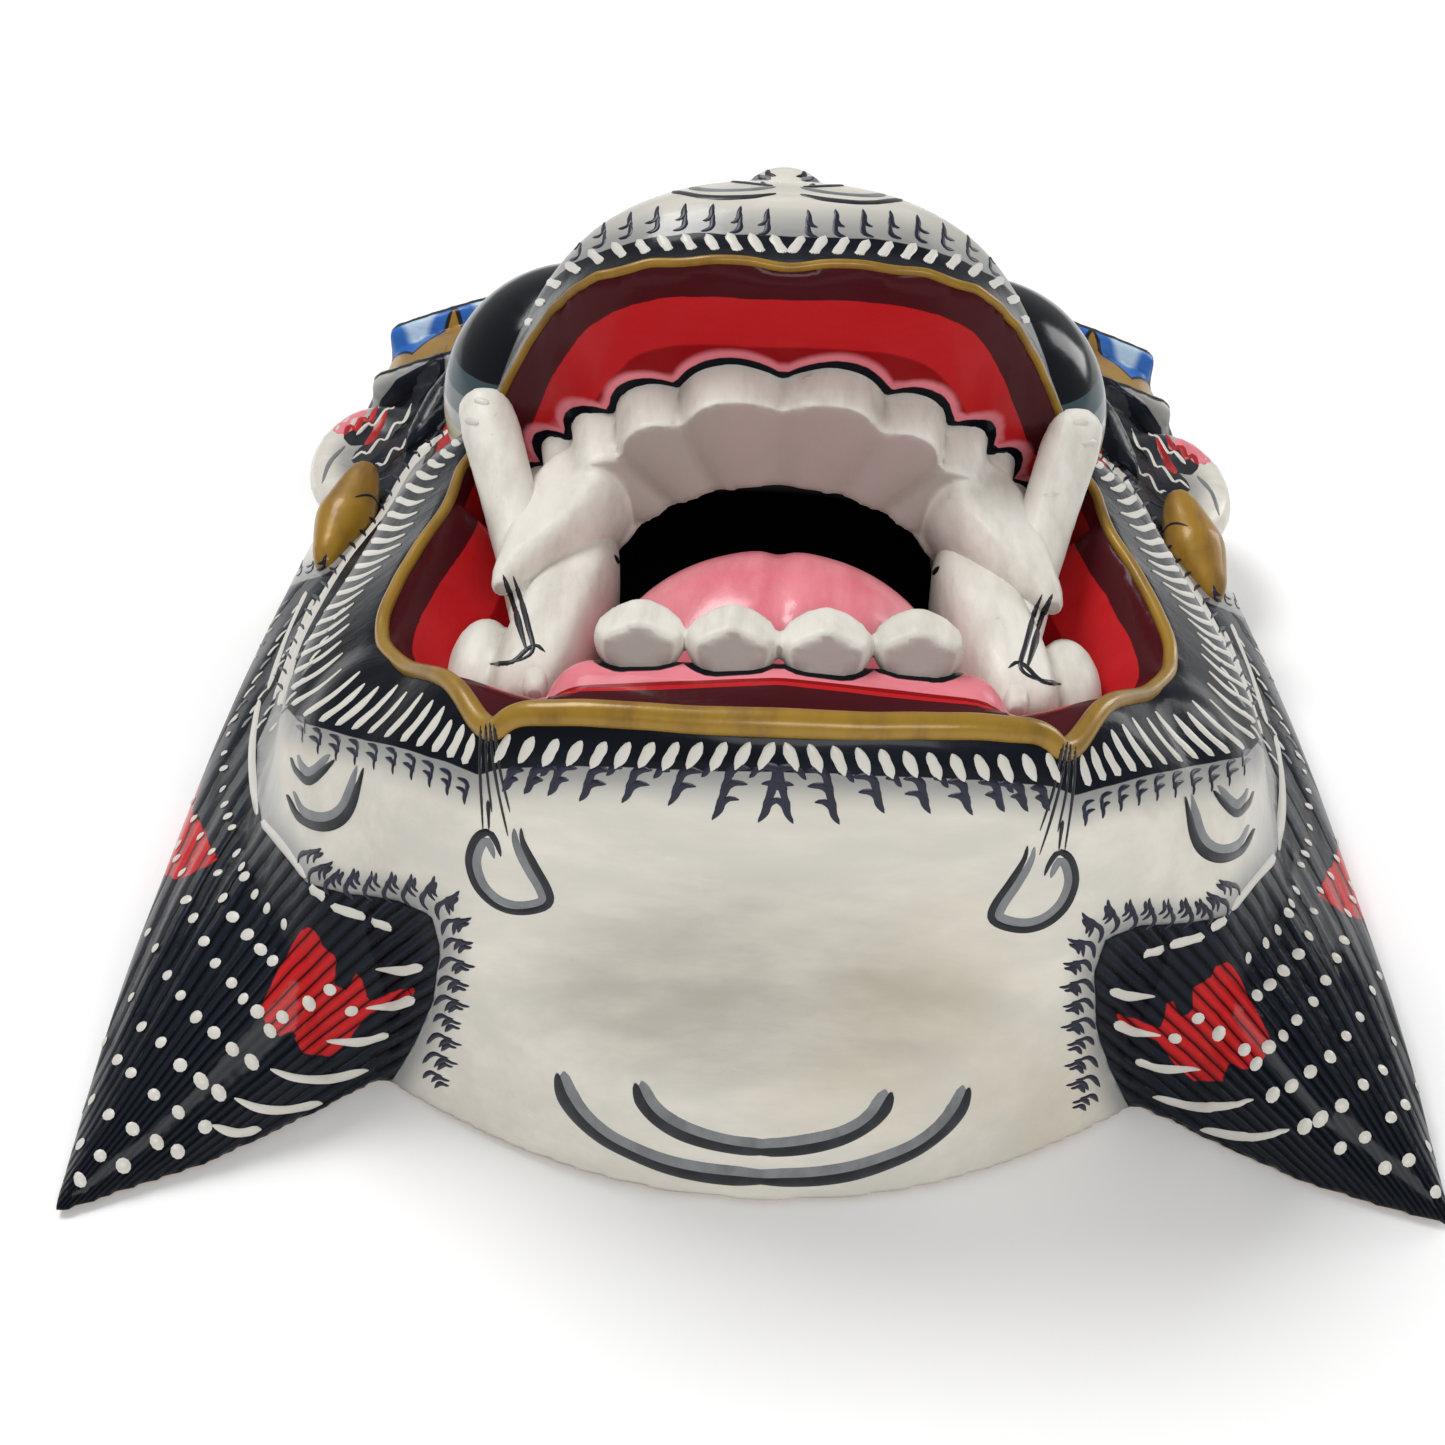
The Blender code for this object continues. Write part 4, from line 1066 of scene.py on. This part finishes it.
def carving_look():
    look = Look("painted_carving")
    wobble = look.noise(90.0, 3.0)
    edge = look.math("MULTIPLY_ADD", wobble, 0.0012, -0.0006)

    def inside(name, softness=0.00012, shift=0.0):
        value = look.math("ADD", look.number(name), edge)
        return look.fall(value, shift - softness, shift + softness)

    streaks = look.noise(230.0, 5.0, 0.6, look.stretched((0.22, 1.0, 0.6)))
    clouds = look.noise(26.0, 4.0)
    spots = look.noise(120.0, 6.0, 0.7)
    white = look.mix(look.ramp(streaks, 0.35, 0.75), WHITE, (0.70, 0.66, 0.58))
    white = look.mix(look.ramp(clouds, 0.52, 0.78, 0.0, 0.55), white, (0.58, 0.50, 0.38))
    white = look.mix(look.ramp(spots, 0.66, 0.74, 0.0, 0.35), white, (0.42, 0.33, 0.22))
    # Painted shade: the hollow of the chin is painted darker towards its middle.
    painted_chin_shade = look.ramp(look.number("chin"), 0.1, 1.5, 0.55, 0.0)
    painted_chin_shade = look.times(painted_chin_shade, look.ramp(streaks, 0.2, 0.7, 1.0, 0.55))
    white = look.mix(painted_chin_shade, white, (0.27, 0.25, 0.195))
    fringe, hair = look.number("fringe"), look.number("hair")
    shade = look.math("MAXIMUM", look.ramp(fringe, 0.0, 0.0085, 0.85, 0.0),
                      look.ramp(hair, 0.0, 0.0065, 0.85, 0.0))
    shade = look.times(shade, look.ramp(streaks, 0.25, 0.65, 0.75, 1.0))
    colour = look.mix(shade, white, (0.155, 0.165, 0.175))
    black = look.mix(look.ramp(streaks, 0.35, 0.8), BLACK, (0.008, 0.011, 0.018))
    colour = look.mix(inside("fringe"), colour, black)
    ridge = look.math("MULTIPLY_ADD", wobble, 1.6, look.times(look.number("lock"), 0.5))
    ridge = look.math("ABSOLUTE", look.math("SINE", ridge))
    # Painted shade in the grooves of the carved locks: the hair's black and the flowers' red are darker there
    # than on the ridges.
    hair_black = look.mix(look.ramp(ridge, 0.05, 0.9), (0.002, 0.003, 0.005), (0.009, 0.012, 0.020))
    flower_red = look.mix(look.ramp(ridge, 0.05, 0.5), (0.10, 0.004, 0.006), (0.50, 0.016, 0.018))
    petals = look.fall(look.uneven(look.number("flower"), wobble, 0.004), -0.0001, 0.0002)
    hair_black = look.mix(petals, hair_black, flower_red)
    colour = look.mix(inside("hair"), colour, hair_black)
    red_lid = look.mix(look.ramp(clouds, 0.4, 0.6), RED, DEEP_RED)
    colour = look.mix(inside("eye", 0.0002, 0.0075), colour, black)
    colour = look.mix(inside("eye", 0.0002, 0.0042), colour, red_lid)
    depth = look.uneven(look.number("depth"), wobble, 0.16)
    red = look.mix(look.ramp(streaks, 0.35, 0.75), RED, (0.45, 0.012, 0.015))
    pink = look.mix(look.ramp(streaks, 0.3, 0.8), PINK, (0.60, 0.15, 0.18))
    mouth = look.mix(look.ramp(depth, 0.985, 1.015), MAROON, red)
    mouth = look.mix(look.ramp(depth, 1.95, 2.02), mouth, DEEP_RED)
    mouth = look.mix(look.ramp(depth, 2.90, 3.02), mouth, pink)
    teeth = look.uneven(look.number("teeth"), wobble, 0.0010)
    mouth = look.mix(look.fall(teeth, 0.0019, 0.0031), mouth, pink)
    outline = look.math("MINIMUM", look.math("ADD", teeth, -0.0004), look.number("jaw"))
    mouth = look.mix(look.fall(outline, 0.0008, 0.0010), mouth, BLACK)
    colour = look.mix(look.fall(look.number("lips"), -0.0002, 0.0001), colour, mouth)
    throat_dark = look.fall(look.number("throat"), 0.0042, 0.0046)
    colour = look.mix(throat_dark, colour, (0.003, 0.003, 0.004))
    crown = look.number("crown")
    x_scaled = look.nodes.new("ShaderNodeSeparateXYZ")
    look.links.new(look.place(), x_scaled.inputs[0])
    across = look.math("PINGPONG", x_scaled.outputs["X"], 0.0077)
    across = look.uneven(across, wobble, 0.0010)

    def triangle(top, depth, half_width):
        fall = look.times(look.math("ADD", crown, -top), 1.0 / depth)
        return look.math("MULTIPLY_ADD", across, 1.0 / half_width, fall)

    gold = look.mix(look.ramp(clouds, 0.4, 0.65), GOLD, (0.25, 0.14, 0.03))
    band = look.mix(look.fall(triangle(0.0016, 0.0125, 0.0082), 1.0, 1.03), gold, BLACK)
    band = look.mix(look.fall(triangle(0.0020, 0.0108, 0.0070), 1.0, 1.04), band, BLUE)
    band = look.mix(look.ramp(triangle(0.0040, 0.0046, 0.0034), 0.4, 1.0, 0.9, 0.0), band, (0.45, 0.58, 0.70))
    band = look.mix(look.fall(crown, 0.0020, 0.0023), band, BLACK)
    band = look.mix(look.ramp(crown, 0.0245, 0.0248), band, BLACK)
    colour = look.mix(look.fall(crown, 0.0262, 0.0266), colour, band)
    # Painted shade: darker paint in the carving's creases, where shade falls.
    creases = look.times(look.hollows(0.40, 0.49), 0.45)
    colour = look.mix(creases, colour, (0.05, 0.035, 0.025))
    bare = look.fall(look.number("back"), 0.0008, 0.0016)
    rings = look.nodes.new("ShaderNodeTexWave")
    rings.wave_type = "BANDS"
    rings.bands_direction = "X"
    rings.inputs["Scale"].default_value = 95.0
    rings.inputs["Distortion"].default_value = 5.0
    rings.inputs["Detail"].default_value = 3.0
    rings.inputs["Detail Scale"].default_value = 1.4
    look.links.new(look.stretched((1.0, 0.10, 0.6)), rings.inputs["Vector"])
    pores = look.noise(900.0, 3.0, 0.6, look.stretched((1.0, 0.05, 0.6)))
    wood_tone = look.mix(rings.outputs["Fac"], WOOD, (0.47, 0.30, 0.165))
    wood_tone = look.mix(look.ramp(pores, 0.55, 0.75, 0.0, 0.5), wood_tone, (0.16, 0.085, 0.04))
    colour = look.mix(bare, colour, wood_tone)
    rough = look.ramp(clouds, 0.3, 0.7, 0.26, 0.40)
    dark = look.math("MAXIMUM", inside("fringe"), inside("hair"))
    rough = look.math("MULTIPLY_ADD", dark, -0.08, rough)
    rough = look.math("MULTIPLY_ADD", bare, 0.35, rough)
    grain = look.noise(420.0, 4.0, 0.6, look.stretched((0.30, 1.0, 0.8)))
    carved = look.times(look.math("POWER", ridge, 0.6), inside("hair", 0.0006))
    look.put(look.shader.inputs["Specular IOR Level"],
             look.ramp(look.math("MAXIMUM", dark, throat_dark), 0.0, 1.0, 0.30, 0.04))
    return look.finish(colour, rough, [(carved, 0.9, 0.0011), (clouds, 0.30, 0.0012),
                                       (grain, 0.40, 0.00030),
                                       (streaks, 0.35, 0.00030), (pores, 0.20, 0.00015)], 0.12)


def ring_mesh(curve, radii, sides=14):
    """A round tube along a closed curve, with a radius for each of its points."""
    count = len(curve)
    tangents = np.roll(curve, -1, axis=0) - np.roll(curve, 1, axis=0)
    tangents /= np.linalg.norm(tangents, axis=1)[:, None]
    points, faces = [], []
    for i in range(count):
        up = np.array([0.0, 0.0, 1.0]) - tangents[i] * tangents[i][2]
        up /= np.linalg.norm(up)
        over = np.cross(tangents[i], up)
        for k in range(sides):
            turn = 2.0 * math.pi * k / sides
            points.append(curve[i] + radii[i] * (over * math.cos(turn) + up * math.sin(turn)))
            a, b = i * sides + k, i * sides + (k + 1) % sides
            c = (i + 1) % count * sides
            faces.append((a, c + k, c + (k + 1) % sides, b))
    return np.array(points), faces


def lip_line(points, faces):
    """The gilt line along the lips' crest, let halfway into the carving."""
    half = smooth_curve(LIP_CREST, 24)
    other = half[1:-1][::-1] * (-1.0, 1.0, 1.0)
    curve = np.concatenate([half, other])
    carving_tree = BVHTree.FromPolygons([tuple(point) for point in points],
                                        [tuple(face) for face in faces])
    curve = np.array([carving_tree.find_nearest(Vector(point))[0] for point in curve])
    for _ in range(LIP_SMOOTHING):
        curve = 0.5 * curve + 0.25 * (np.roll(curve, 1, axis=0) + np.roll(curve, -1, axis=0))
    share = np.concatenate([np.linspace(0, 15, len(half)), np.linspace(15, 0, len(half))[1:-1]])
    return ring_mesh(curve, np.interp(share, LIP_PLACES, LIP_RADII))


def eyeball(side):
    """Points and faces of one eyeball, with a ring of quads about the way that it looks."""
    gaze = np.array([side * 0.20, -0.12, 1.0])
    gaze /= np.linalg.norm(gaze)
    first = np.cross(gaze, (0.0, 1.0, 0.0))
    first /= np.linalg.norm(first)
    second = np.cross(gaze, first)
    centre = np.array([side * EYE_X, EYE_Y, EYE_Z])
    points, faces, turns = [centre + EYE_RADIUS * gaze], [], [0.0]
    rows, columns = 48, 72
    for i in range(1, rows + 1):
        fall = 0.62 * math.pi * i / rows
        for k in range(columns):
            turn = 2.0 * math.pi * k / columns
            points.append(centre + EYE_RADIUS * (gaze * math.cos(fall) + math.sin(fall)
                                                 * (first * math.cos(turn) + second * math.sin(turn))))
            turns.append(fall)
    for k in range(columns):
        faces.append((0, 1 + k, 1 + (k + 1) % columns))
        for i in range(rows - 1):
            a, b = 1 + i * columns + k, 1 + i * columns + (k + 1) % columns
            faces.append((a, a + columns, b + columns, b))
    return points, faces, turns


def eye_look():
    look = Look("painted_eye")
    wobble = look.noise(60.0, 2.0)
    turn = look.uneven(look.number("turn"), wobble, 0.05)
    colour = BLACK
    for low, high, band in ((0.90, 0.91, SLATE), (1.06, 1.08, (0.17, 0.19, 0.20)),
                            (1.20, 1.23, (0.42, 0.43, 0.41)), (1.33, 1.35, CREAM)):
        colour = look.mix(look.ramp(turn, low, high), colour, band)
    look.shader.inputs["Specular IOR Level"].default_value = 0.14
    chips = look.ramp(look.noise(75.0, 6.0, 0.75), 0.67, 0.69)
    colour = look.mix(look.times(chips, 0.8), colour, (0.36, 0.27, 0.17))
    fine = look.noise(300.0, 4.0)
    return look.finish(colour, look.ramp(fine, 0.3, 0.7, 0.12, 0.20), [(fine, 0.25, 0.0002)], 0.10)


# Lifts of thin paint, of paint over thin paint, and of dabs over the locks
THIN, OVER, PROUD = 0.00005, 0.00006, 0.00012
PLAIN = (0.15, 0.3)

# Black lines with a grey one beside them: width in metres and places in the photo's frame
SHADED_LINES = [
    (0.0021, "635,1083 642,1103 657,1120 680,1134 710,1144 742,1150 776,1152"),
    (0.0023, "557,1073 563,1096 578,1118 602,1139 632,1155 665,1168 700,1176 738,1180 776,1181"),
    (0.0011, "501,856 496,842 488,832 476,839 469,860 475,884 489,901 506,910 524,912 543,908 550,900 "
             "546,886 534,865 523,842 521,828"),
    (0.0013, "291,758 297,772 311,780 335,760"),
    (0.0015, "287,795 300,818 325,826 348,812 364,768"),
    (0.0015, "681,181 712,180 745,183 770,186"),
    (0.0016, "645,191 675,192 707,197 745,197 776,194")]

# Single strokes: paint, width, tapers at both ends, lift, and places in the photo's frame
# Thin black strokes down from the mouth's corner: painted shade in the crease there.
CORNER_SHADE_STROKES = [
    ("black", 0.0006, (0.05, 0.7), 0.0, "490,722 493,760 500,800 508,836; 486,724 487,770 492,812; "
     "494,724 500,770 510,812; 481,726 480,770 483,830; 488,800 489,830")]
MOUTH_STROKES = [
    ("black", 0.0012, PLAIN, 0.0, "614,556 624,566 634,560"),
    ("black", 0.0011, PLAIN, 0.0, "503,575 512,600 520,628 527,652"),
    ("black", 0.0009, PLAIN, 0.0, "513,576 521,600 528,626 533,650 520,660 506,662; "
     "545,652 536,645 526,650 512,662 490,664")]
BEARD_STROKES = [
    ("white", 0.0015, (0.05, 0.1), OVER,
     "306,592 285,640 268,690; 259,700 253,735 252,765 255,800 258,815; 262,822 284,848 306,878; "
     "310,888 325,898; 331,906 345,911 366,917; 372,922 392,928; 313,600 293,648 274,700"),
    ("white", 0.0015, (0.15, 0.5), OVER,
     "423,966 402,971 376,969; 415,998 394,1006 366,1008; 389,1034 362,1042 326,1041; "
     "368,1070 330,1079 296,1078 270,1069; 322,1103 285,1110 258,1108 234,1098; 261,1129 236,1133 212,1125")]
SIDE_STROKES = [
    ("black", 0.0052, (0.1, 0.1), 0.0, "352,492 372,470 396,446 418,418 436,384; "
     "347,470 372,448 398,418 420,392 438,362; 350,445 374,424 398,396 420,374"),
    ("white", 0.0008, (0.1, 0.2), PROUD,
     "350,484 360,476 366,478 376,464 384,465 393,449 402,449 410,430 418,430 425,410; "
     "352,460 362,452 368,454 379,440 386,440 395,424 404,422 412,404; "
     "356,436 368,424 374,426 386,410 394,408 404,390"),
    ("pink", 0.0052, (0.2, 0.2), 0.0, "338,434 346,424 360,412 380,402"),
    ("red", 0.0013, (0.2, 0.3), 0.0001, "344,436 350,426 356,430 362,418 370,422 376,408 384,404"),
    ("red", 0.0020, (0.2, 0.3), 0.0001, "366,446 374,436 380,424 386,410"),
    ("grey", 0.0010, PLAIN, 0.0, "322,484 330,462 345,446")]

DOT_ROWS = ("236,718 230,735 224,752 223,770 224,789 226,804 227,817 231,829 238,853 243,867 245,878 256,895 "
            "268,909 284,924; "
            "202,745 198,762 196,783 194,802 195,819 200,838 211,851 218,872 223,897 234,916 246,933 261,949 "
            "272,960; "
            "173,802 171,817 170,836 176,859 183,874 187,899 195,920 205,941 217,962 233,983 244,998 "
            "256,1010; "
            "145,859 150,884 148,909 149,931 155,949 168,975 180,994 197,1015 213,1034 231,1051 253,1063; "
            "121,930 118,951 123,973 131,998 143,1025 160,1044 179,1065 200,1080 219,1093; "
            "99,1000 98,1022 104,1044 116,1060 131,1072 154,1093 178,1112 206,1128; "
            "78,1062 80,1084 91,1100 108,1114 133,1128 156,1142 178,1150; "
            "62,1110 66,1130 80,1144 100,1156 124,1166; 50,1152 60,1168 78,1180; "
            "270,1030 283,1017 308,1002 330,990 352,1010; 166,800 172,822 178,846 160,862").split("; ")


def jitter(size=1.0):
    return size * float(rng.uniform(-1.0, 1.0))


def paint_strokes(rows):
    for group, width, taper, lift, lines in rows:
        for line in lines.split("; "):
            brush(group, line, width, taper=taper, lift=lift)


def paint_fringe():
    """White ticks on the black band round the lips: over the snout, down the side and along the chin."""
    crest = smooth_curve(LIP_CREST[:7], 12) * (-1.0, 1.0, 1.0)
    line = resampled(np.stack(photo_place(crest), axis=1), 23.0)
    for i, spot in enumerate(line[:-1]):
        share = i / len(line)
        ahead = (line[i + 1] - spot) / np.linalg.norm(line[i + 1] - spot)
        way = np.array([-ahead[1], ahead[0]]) + (0.75 - 0.60 * share) * ahead
        brush("white", [spot + 6.0 * way, spot + (23.0 - 5.0 * share + jitter(1.5)) * way],
              0.0016 - 0.0005 * share, taper=(0.10, 0.15), lift=THIN)
    outer = curve_2d(RIDGE, 17.5)
    inner = curve_2d(LIP_SIDE, 1.0)
    for i, spot in enumerate(outer[1:-1]):
        share = (i + 0.5) / (len(outer) - 2)
        aim = inner[int(share * (len(inner) - 1))]
        reach = 0.70 + jitter(0.06) - 0.10 * share
        start, end = spot + 0.08 * (aim - spot), spot + reach * (aim - spot)
        bend = 0.5 * (start + end) + (1.0, 5.0 * (1.0 - share))
        width = 0.0012 + 0.0005 * max(0.0, share - 0.6)
        brush("white", [start, bend, end], width, taper=(0.1, 0.35), lift=THIN)
    for i, px in enumerate(np.arange(510.0, 775.0, 24.0)):
        top = 734.0 + 8.0 * math.sin(min(1.0, i / 5.0) * 0.5 * math.pi)
        foot = (px - 15.0, top + 27.0 + jitter(2.0))
        brush("white", [(px, top), foot], 0.0014, taper=(0.30, 0.35), lift=THIN)


def paint_ridge():
    """The thin white ridge outside the fringe, with a comb of short black marks."""
    line = curve_2d(RIDGE[:7], 4.0)
    brush("white", line[3:] - (2.0, 0.0), 0.0026, taper=(0.02, 0.02))
    for spot in line[4:-2:4]:
        brush("navy", [spot + (-11.0, -2.0), spot + (-6.0, 1.0), spot + (-4.0, 5.0)], 0.0007,
              taper=(0.2, 0.5), lift=0.0001)


def tuft(root, way, size, hooks, width, side=1.0):
    """A tuft of fur: hooks stacked along its way, each from one side over its corner into a tail."""
    way = np.asarray(way, float) / np.linalg.norm(way)
    across = np.array([way[1], -way[0]]) * side
    corner = np.asarray(root, float)
    for k in range(hooks):
        reach = size * (0.95 - 0.10 * k + 0.12 * jitter())
        brush("navy", [corner + across * reach - way * size * 0.12,
                       corner + across * size * 0.35 - way * size * 0.12,
                       corner + way * size * 0.12,
                       corner + way * size * 0.52 - across * size * 0.10,
                       corner + way * size * 0.92 - across * size * 0.34], width, taper=(0.35, 0.45))
        corner = corner + way * size * 0.74 - across * size * 0.12


def paint_fur():
    """Tufts along the chin, over the jowl, round the beard's edge and over the snout."""
    for px, size, hooks in ((511, 13, 2), (534, 15, 2), (559, 17, 2), (592, 19, 2),
                            (635, 20, 2), (682, 21, 2), (731, 22, 3), (778, 23, 3)):
        tuft((px, 770.0 + jitter(2.0)), (-0.12, 1.0), size, hooks, 0.00125)
    for px in (547.0, 613.0, 660.0, 708.0, 756.0):
        tuft((px, 768.0 + jitter(2.0)), (-0.3, 1.0), 11.0, 1, 0.0010)
    for spot in curve_2d("306,722 322,734 345,742 400,755 440,770 468,784", 20.0):
        tuft(spot, (-0.45, 1.0), 12.0, 2, 0.0008, side=-1.0)
    edge = curve_2d("303,852 322,880 360,888 400,893 437,902 453,935 450,980 442,1030 434,1072", 19.0)
    for i, spot in enumerate(edge):
        ahead = edge[min(i + 1, len(edge) - 1)] - edge[max(i - 1, 0)]
        ahead /= np.linalg.norm(ahead)
        out = np.array([ahead[1], -ahead[0]])
        tuft(spot - 3.0 * out, out + 0.6 * ahead, 14.0 + jitter(2.0), 2, 0.0009, side=-1.0)
        tuft(spot + 9.0 * out + 9.0 * ahead, out + 0.6 * ahead, 9.0, 1, 0.0009, side=-1.0)
    for spot in curve_2d("768,231 700,226 655,229 612,240 580,256", 27.0):
        tuft(spot, (-0.25, -1.0), 13.0, 2, 0.0011)


def paint_lines():
    """The shaded curves of chin, jowls and nose, painted shade as thin black strokes in the crease at the
    mouth's corner, and the nose's lines.
    """
    for width, places in SHADED_LINES:
        line = curve_2d(places, 4.0)
        ahead = np.gradient(line, axis=0)
        ahead /= np.linalg.norm(ahead, axis=1)[:, None]
        beside = line - 7.0 * np.stack([-ahead[:, 1], ahead[:, 0]], axis=1)
        brush("grey", beside, 1.3 * width, taper=(0.1, 0.15))
        brush("black", line, width, taper=(0.12, 0.15), lift=OVER)
    # Painted shade in the crease at the mouth's corner.
    paint_strokes(CORNER_SHADE_STROKES)
    for root, tip in (((768, 180), (757, 170)), ((773, 186), (762, 178)), ((776, 176), (768, 168))):
        brush("black", [root, (0.5 * (root[0] + tip[0]) - 4, 0.5 * (root[1] + tip[1]) + 2), tip], 0.0011)


def paint_beard():
    """Rows of white dabs across the locks, the beard's outline, long strokes at the chin, and the temple."""
    for row, text in enumerate(DOT_ROWS):
        line = pixels(text)
        for i, spot in enumerate(line):
            share = i / (len(line) - 1)
            spots = on_wood([spot + (jitter(1.5), jitter(2.0))])
            if len(spots):
                radius = 0.00058 + 0.00030 * min(1.0, share + 0.1 * row) + 0.00010 * jitter()
                dot("white", spots[0], radius, lift=PROUD, stretch=1.25 + 0.3 * jitter())
    paint_strokes(BEARD_STROKES)
    for row in range(9):
        for column in range(6):
            spot = np.array([206.0 + 8.0 * row + 14.0 * column, 716.0 - 14.0 * row + 2.0 * column])
            group = "white" if (row + column) % 3 else "grey"
            brush(group, [spot + (-6, 6), spot + (-1, -1), spot + (5, -6)], 0.0007, lift=0.00003)
    for px, py in curve_2d("214,648 236,612 262,590 296,572 324,564", 12.0):
        tuft((px, py + 4.0), (-0.1, -1.0), 8.0, 2, 0.0008)


def plan_stroke(group, points, width=0.0008, lift=0.0, taper=(0.1, 0.5)):
    """A stroke through places in plan, in metres."""
    stroke(group, from_above(smooth_curve(np.array(points, float), 8)), width, lift, taper)


def paint_brow():
    """The brows, the temples and the bridge of the nose, which the photo does not show."""
    brow = np.array(BROW_LINE)[:4, :2] + (0.0, 0.001) + (0.004, 0.0)
    plan_stroke("black", brow, 0.0085, taper=(0.1, 0.3))
    for x, y in resampled(smooth_curve(brow, 8), 0.0031)[1:-1]:
        plan_stroke("white", [(x - 0.0006, y - 0.0026), (x + 0.0004, y), (x + 0.0018, y + 0.0028)],
                    lift=PROUD)
    for k in range(7):
        y = 0.040 + 0.0042 * k
        plan_stroke("black", [(0.0, y), (0.0035, y + 0.0012), (0.0062, y + 0.0034)], taper=(0.0, 0.5))
    for x, y in ((0.068, 0.078), (0.060, 0.083), (0.050, 0.0855), (0.038, 0.087), (0.026, 0.0875),
                 (0.014, 0.0875)):
        plan_stroke("navy", [(x, y), (x + 0.0005, y - 0.003), (x + 0.0025, y - 0.0052)])
    for degrees in range(-60, 101, 20):
        over, up = math.cos(math.radians(degrees)), math.sin(math.radians(degrees))
        x, y = EYE_X + 0.036 * over, EYE_Y + 0.034 * up
        if x >= 0.060:
            plan_stroke("navy", [(x, y), (x + 0.0035 * over, y + 0.0035 * up - 0.0008),
                                 (x + 0.0065 * over, y + 0.006 * up - 0.003)])


def dress():
    """Makes every piece that rides on the frame."""
    global wood
    cell = CARVING_CELL
    tooth_cell = TOOTH_CELL
    low = np.array([-SIDE_HALF_WIDTH - MARGIN, BEARD_TIP_Y - MARGIN, -2.5 * cell])
    low[0] = -cell * math.ceil(-low[0] / cell)
    high = (SIDE_HALF_WIDTH + MARGIN, CROWN_Y + MARGIN, SNOUT_TOP + MARGIN)
    points, faces = skinned(carving, low, high, cell, 2)
    points[:, 2] = np.maximum(points[:, 2], 0.0)
    carved = new_piece("carving", points, faces, carving_look())
    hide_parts("mask")
    carving_numbers(carved, points)
    solids = [(points, faces)]
    tooth_paint = tooth_look()
    reach = 0.050
    teeth_box = (-reach, -0.060, 0.038), (reach, 0.0, 0.085)
    jaw_box = (-reach, -0.092, 0.036), (reach, -0.012, 0.080)
    for name, field_of, box, size, material in (
            ("upper_teeth", upper_teeth, teeth_box, tooth_cell, tooth_paint),
            ("lower_teeth", lower_teeth, jaw_box, tooth_cell, tooth_paint),
            ("side_teeth", side_teeth, jaw_box, 1.3 * tooth_cell, tooth_paint),
            ("tusks", tusks, jaw_box, tooth_cell, tooth_paint),
            ("tongue", tongue, jaw_box, 1.5 * tooth_cell,
             lacquer("painted_tongue", PINK, (0.62, 0.15, 0.19), 0.3)),
            ("ear_drops", ear_drops, ((0.06, 0.005, 0.008), (0.096, 0.055, 0.04)), tooth_cell,
             lacquer("painted_gold", GOLD, (0.20, 0.10, 0.02), 0.38, 0.2, 0.6, 0.1))):
        points, faces = skinned(lambda x, y, z: field_of(np.abs(x), y, z), *box, size)
        if name == "ear_drops":
            count = len(points)
            points = np.concatenate([points, points * (-1.0, 1.0, 1.0)])
            faces = np.concatenate([faces, faces[:, ::-1] + count])
        new_piece(name, points, faces, material)
        solids.append((points, faces))
    points, faces = lip_line(*solids[0])
    gilding = lacquer("gilt_lip", (0.30, 0.17, 0.016), (0.20, 0.105, 0.012), 0.36, 0.2, 0.5, 0.1)
    new_piece("lip_line", points, faces, gilding)
    solids.append((points, np.array(faces)))
    eye_material = eye_look()
    for name, side in (("eye_right", -1.0), ("eye_left", 1.0)):
        points, faces, turns = eyeball(side)
        set_number(new_piece(name, points, faces, eye_material), "turn", turns)
    corners, sides, first = [], [], 0
    for points, faces in solids:
        corners.extend(map(tuple, points))
        sides.extend(tuple(int(n) + first for n in face) for face in faces)
        first += len(points)
    wood = BVHTree.FromPolygons(corners, sides)
    paint_fringe()
    paint_ridge()
    paint_fur()
    paint_lines()
    paint_strokes(MOUTH_STROKES)
    paint_beard()
    paint_strokes(SIDE_STROKES)
    paint_brow()
    for group, (points, faces) in painted.items():
        ink = lacquer("ink_" + group, *INKS[group], 0.34, 0.08, 0.15)
        new_piece("brushwork_" + group, points, faces, ink)


make_camera()
make_stage()
dress()
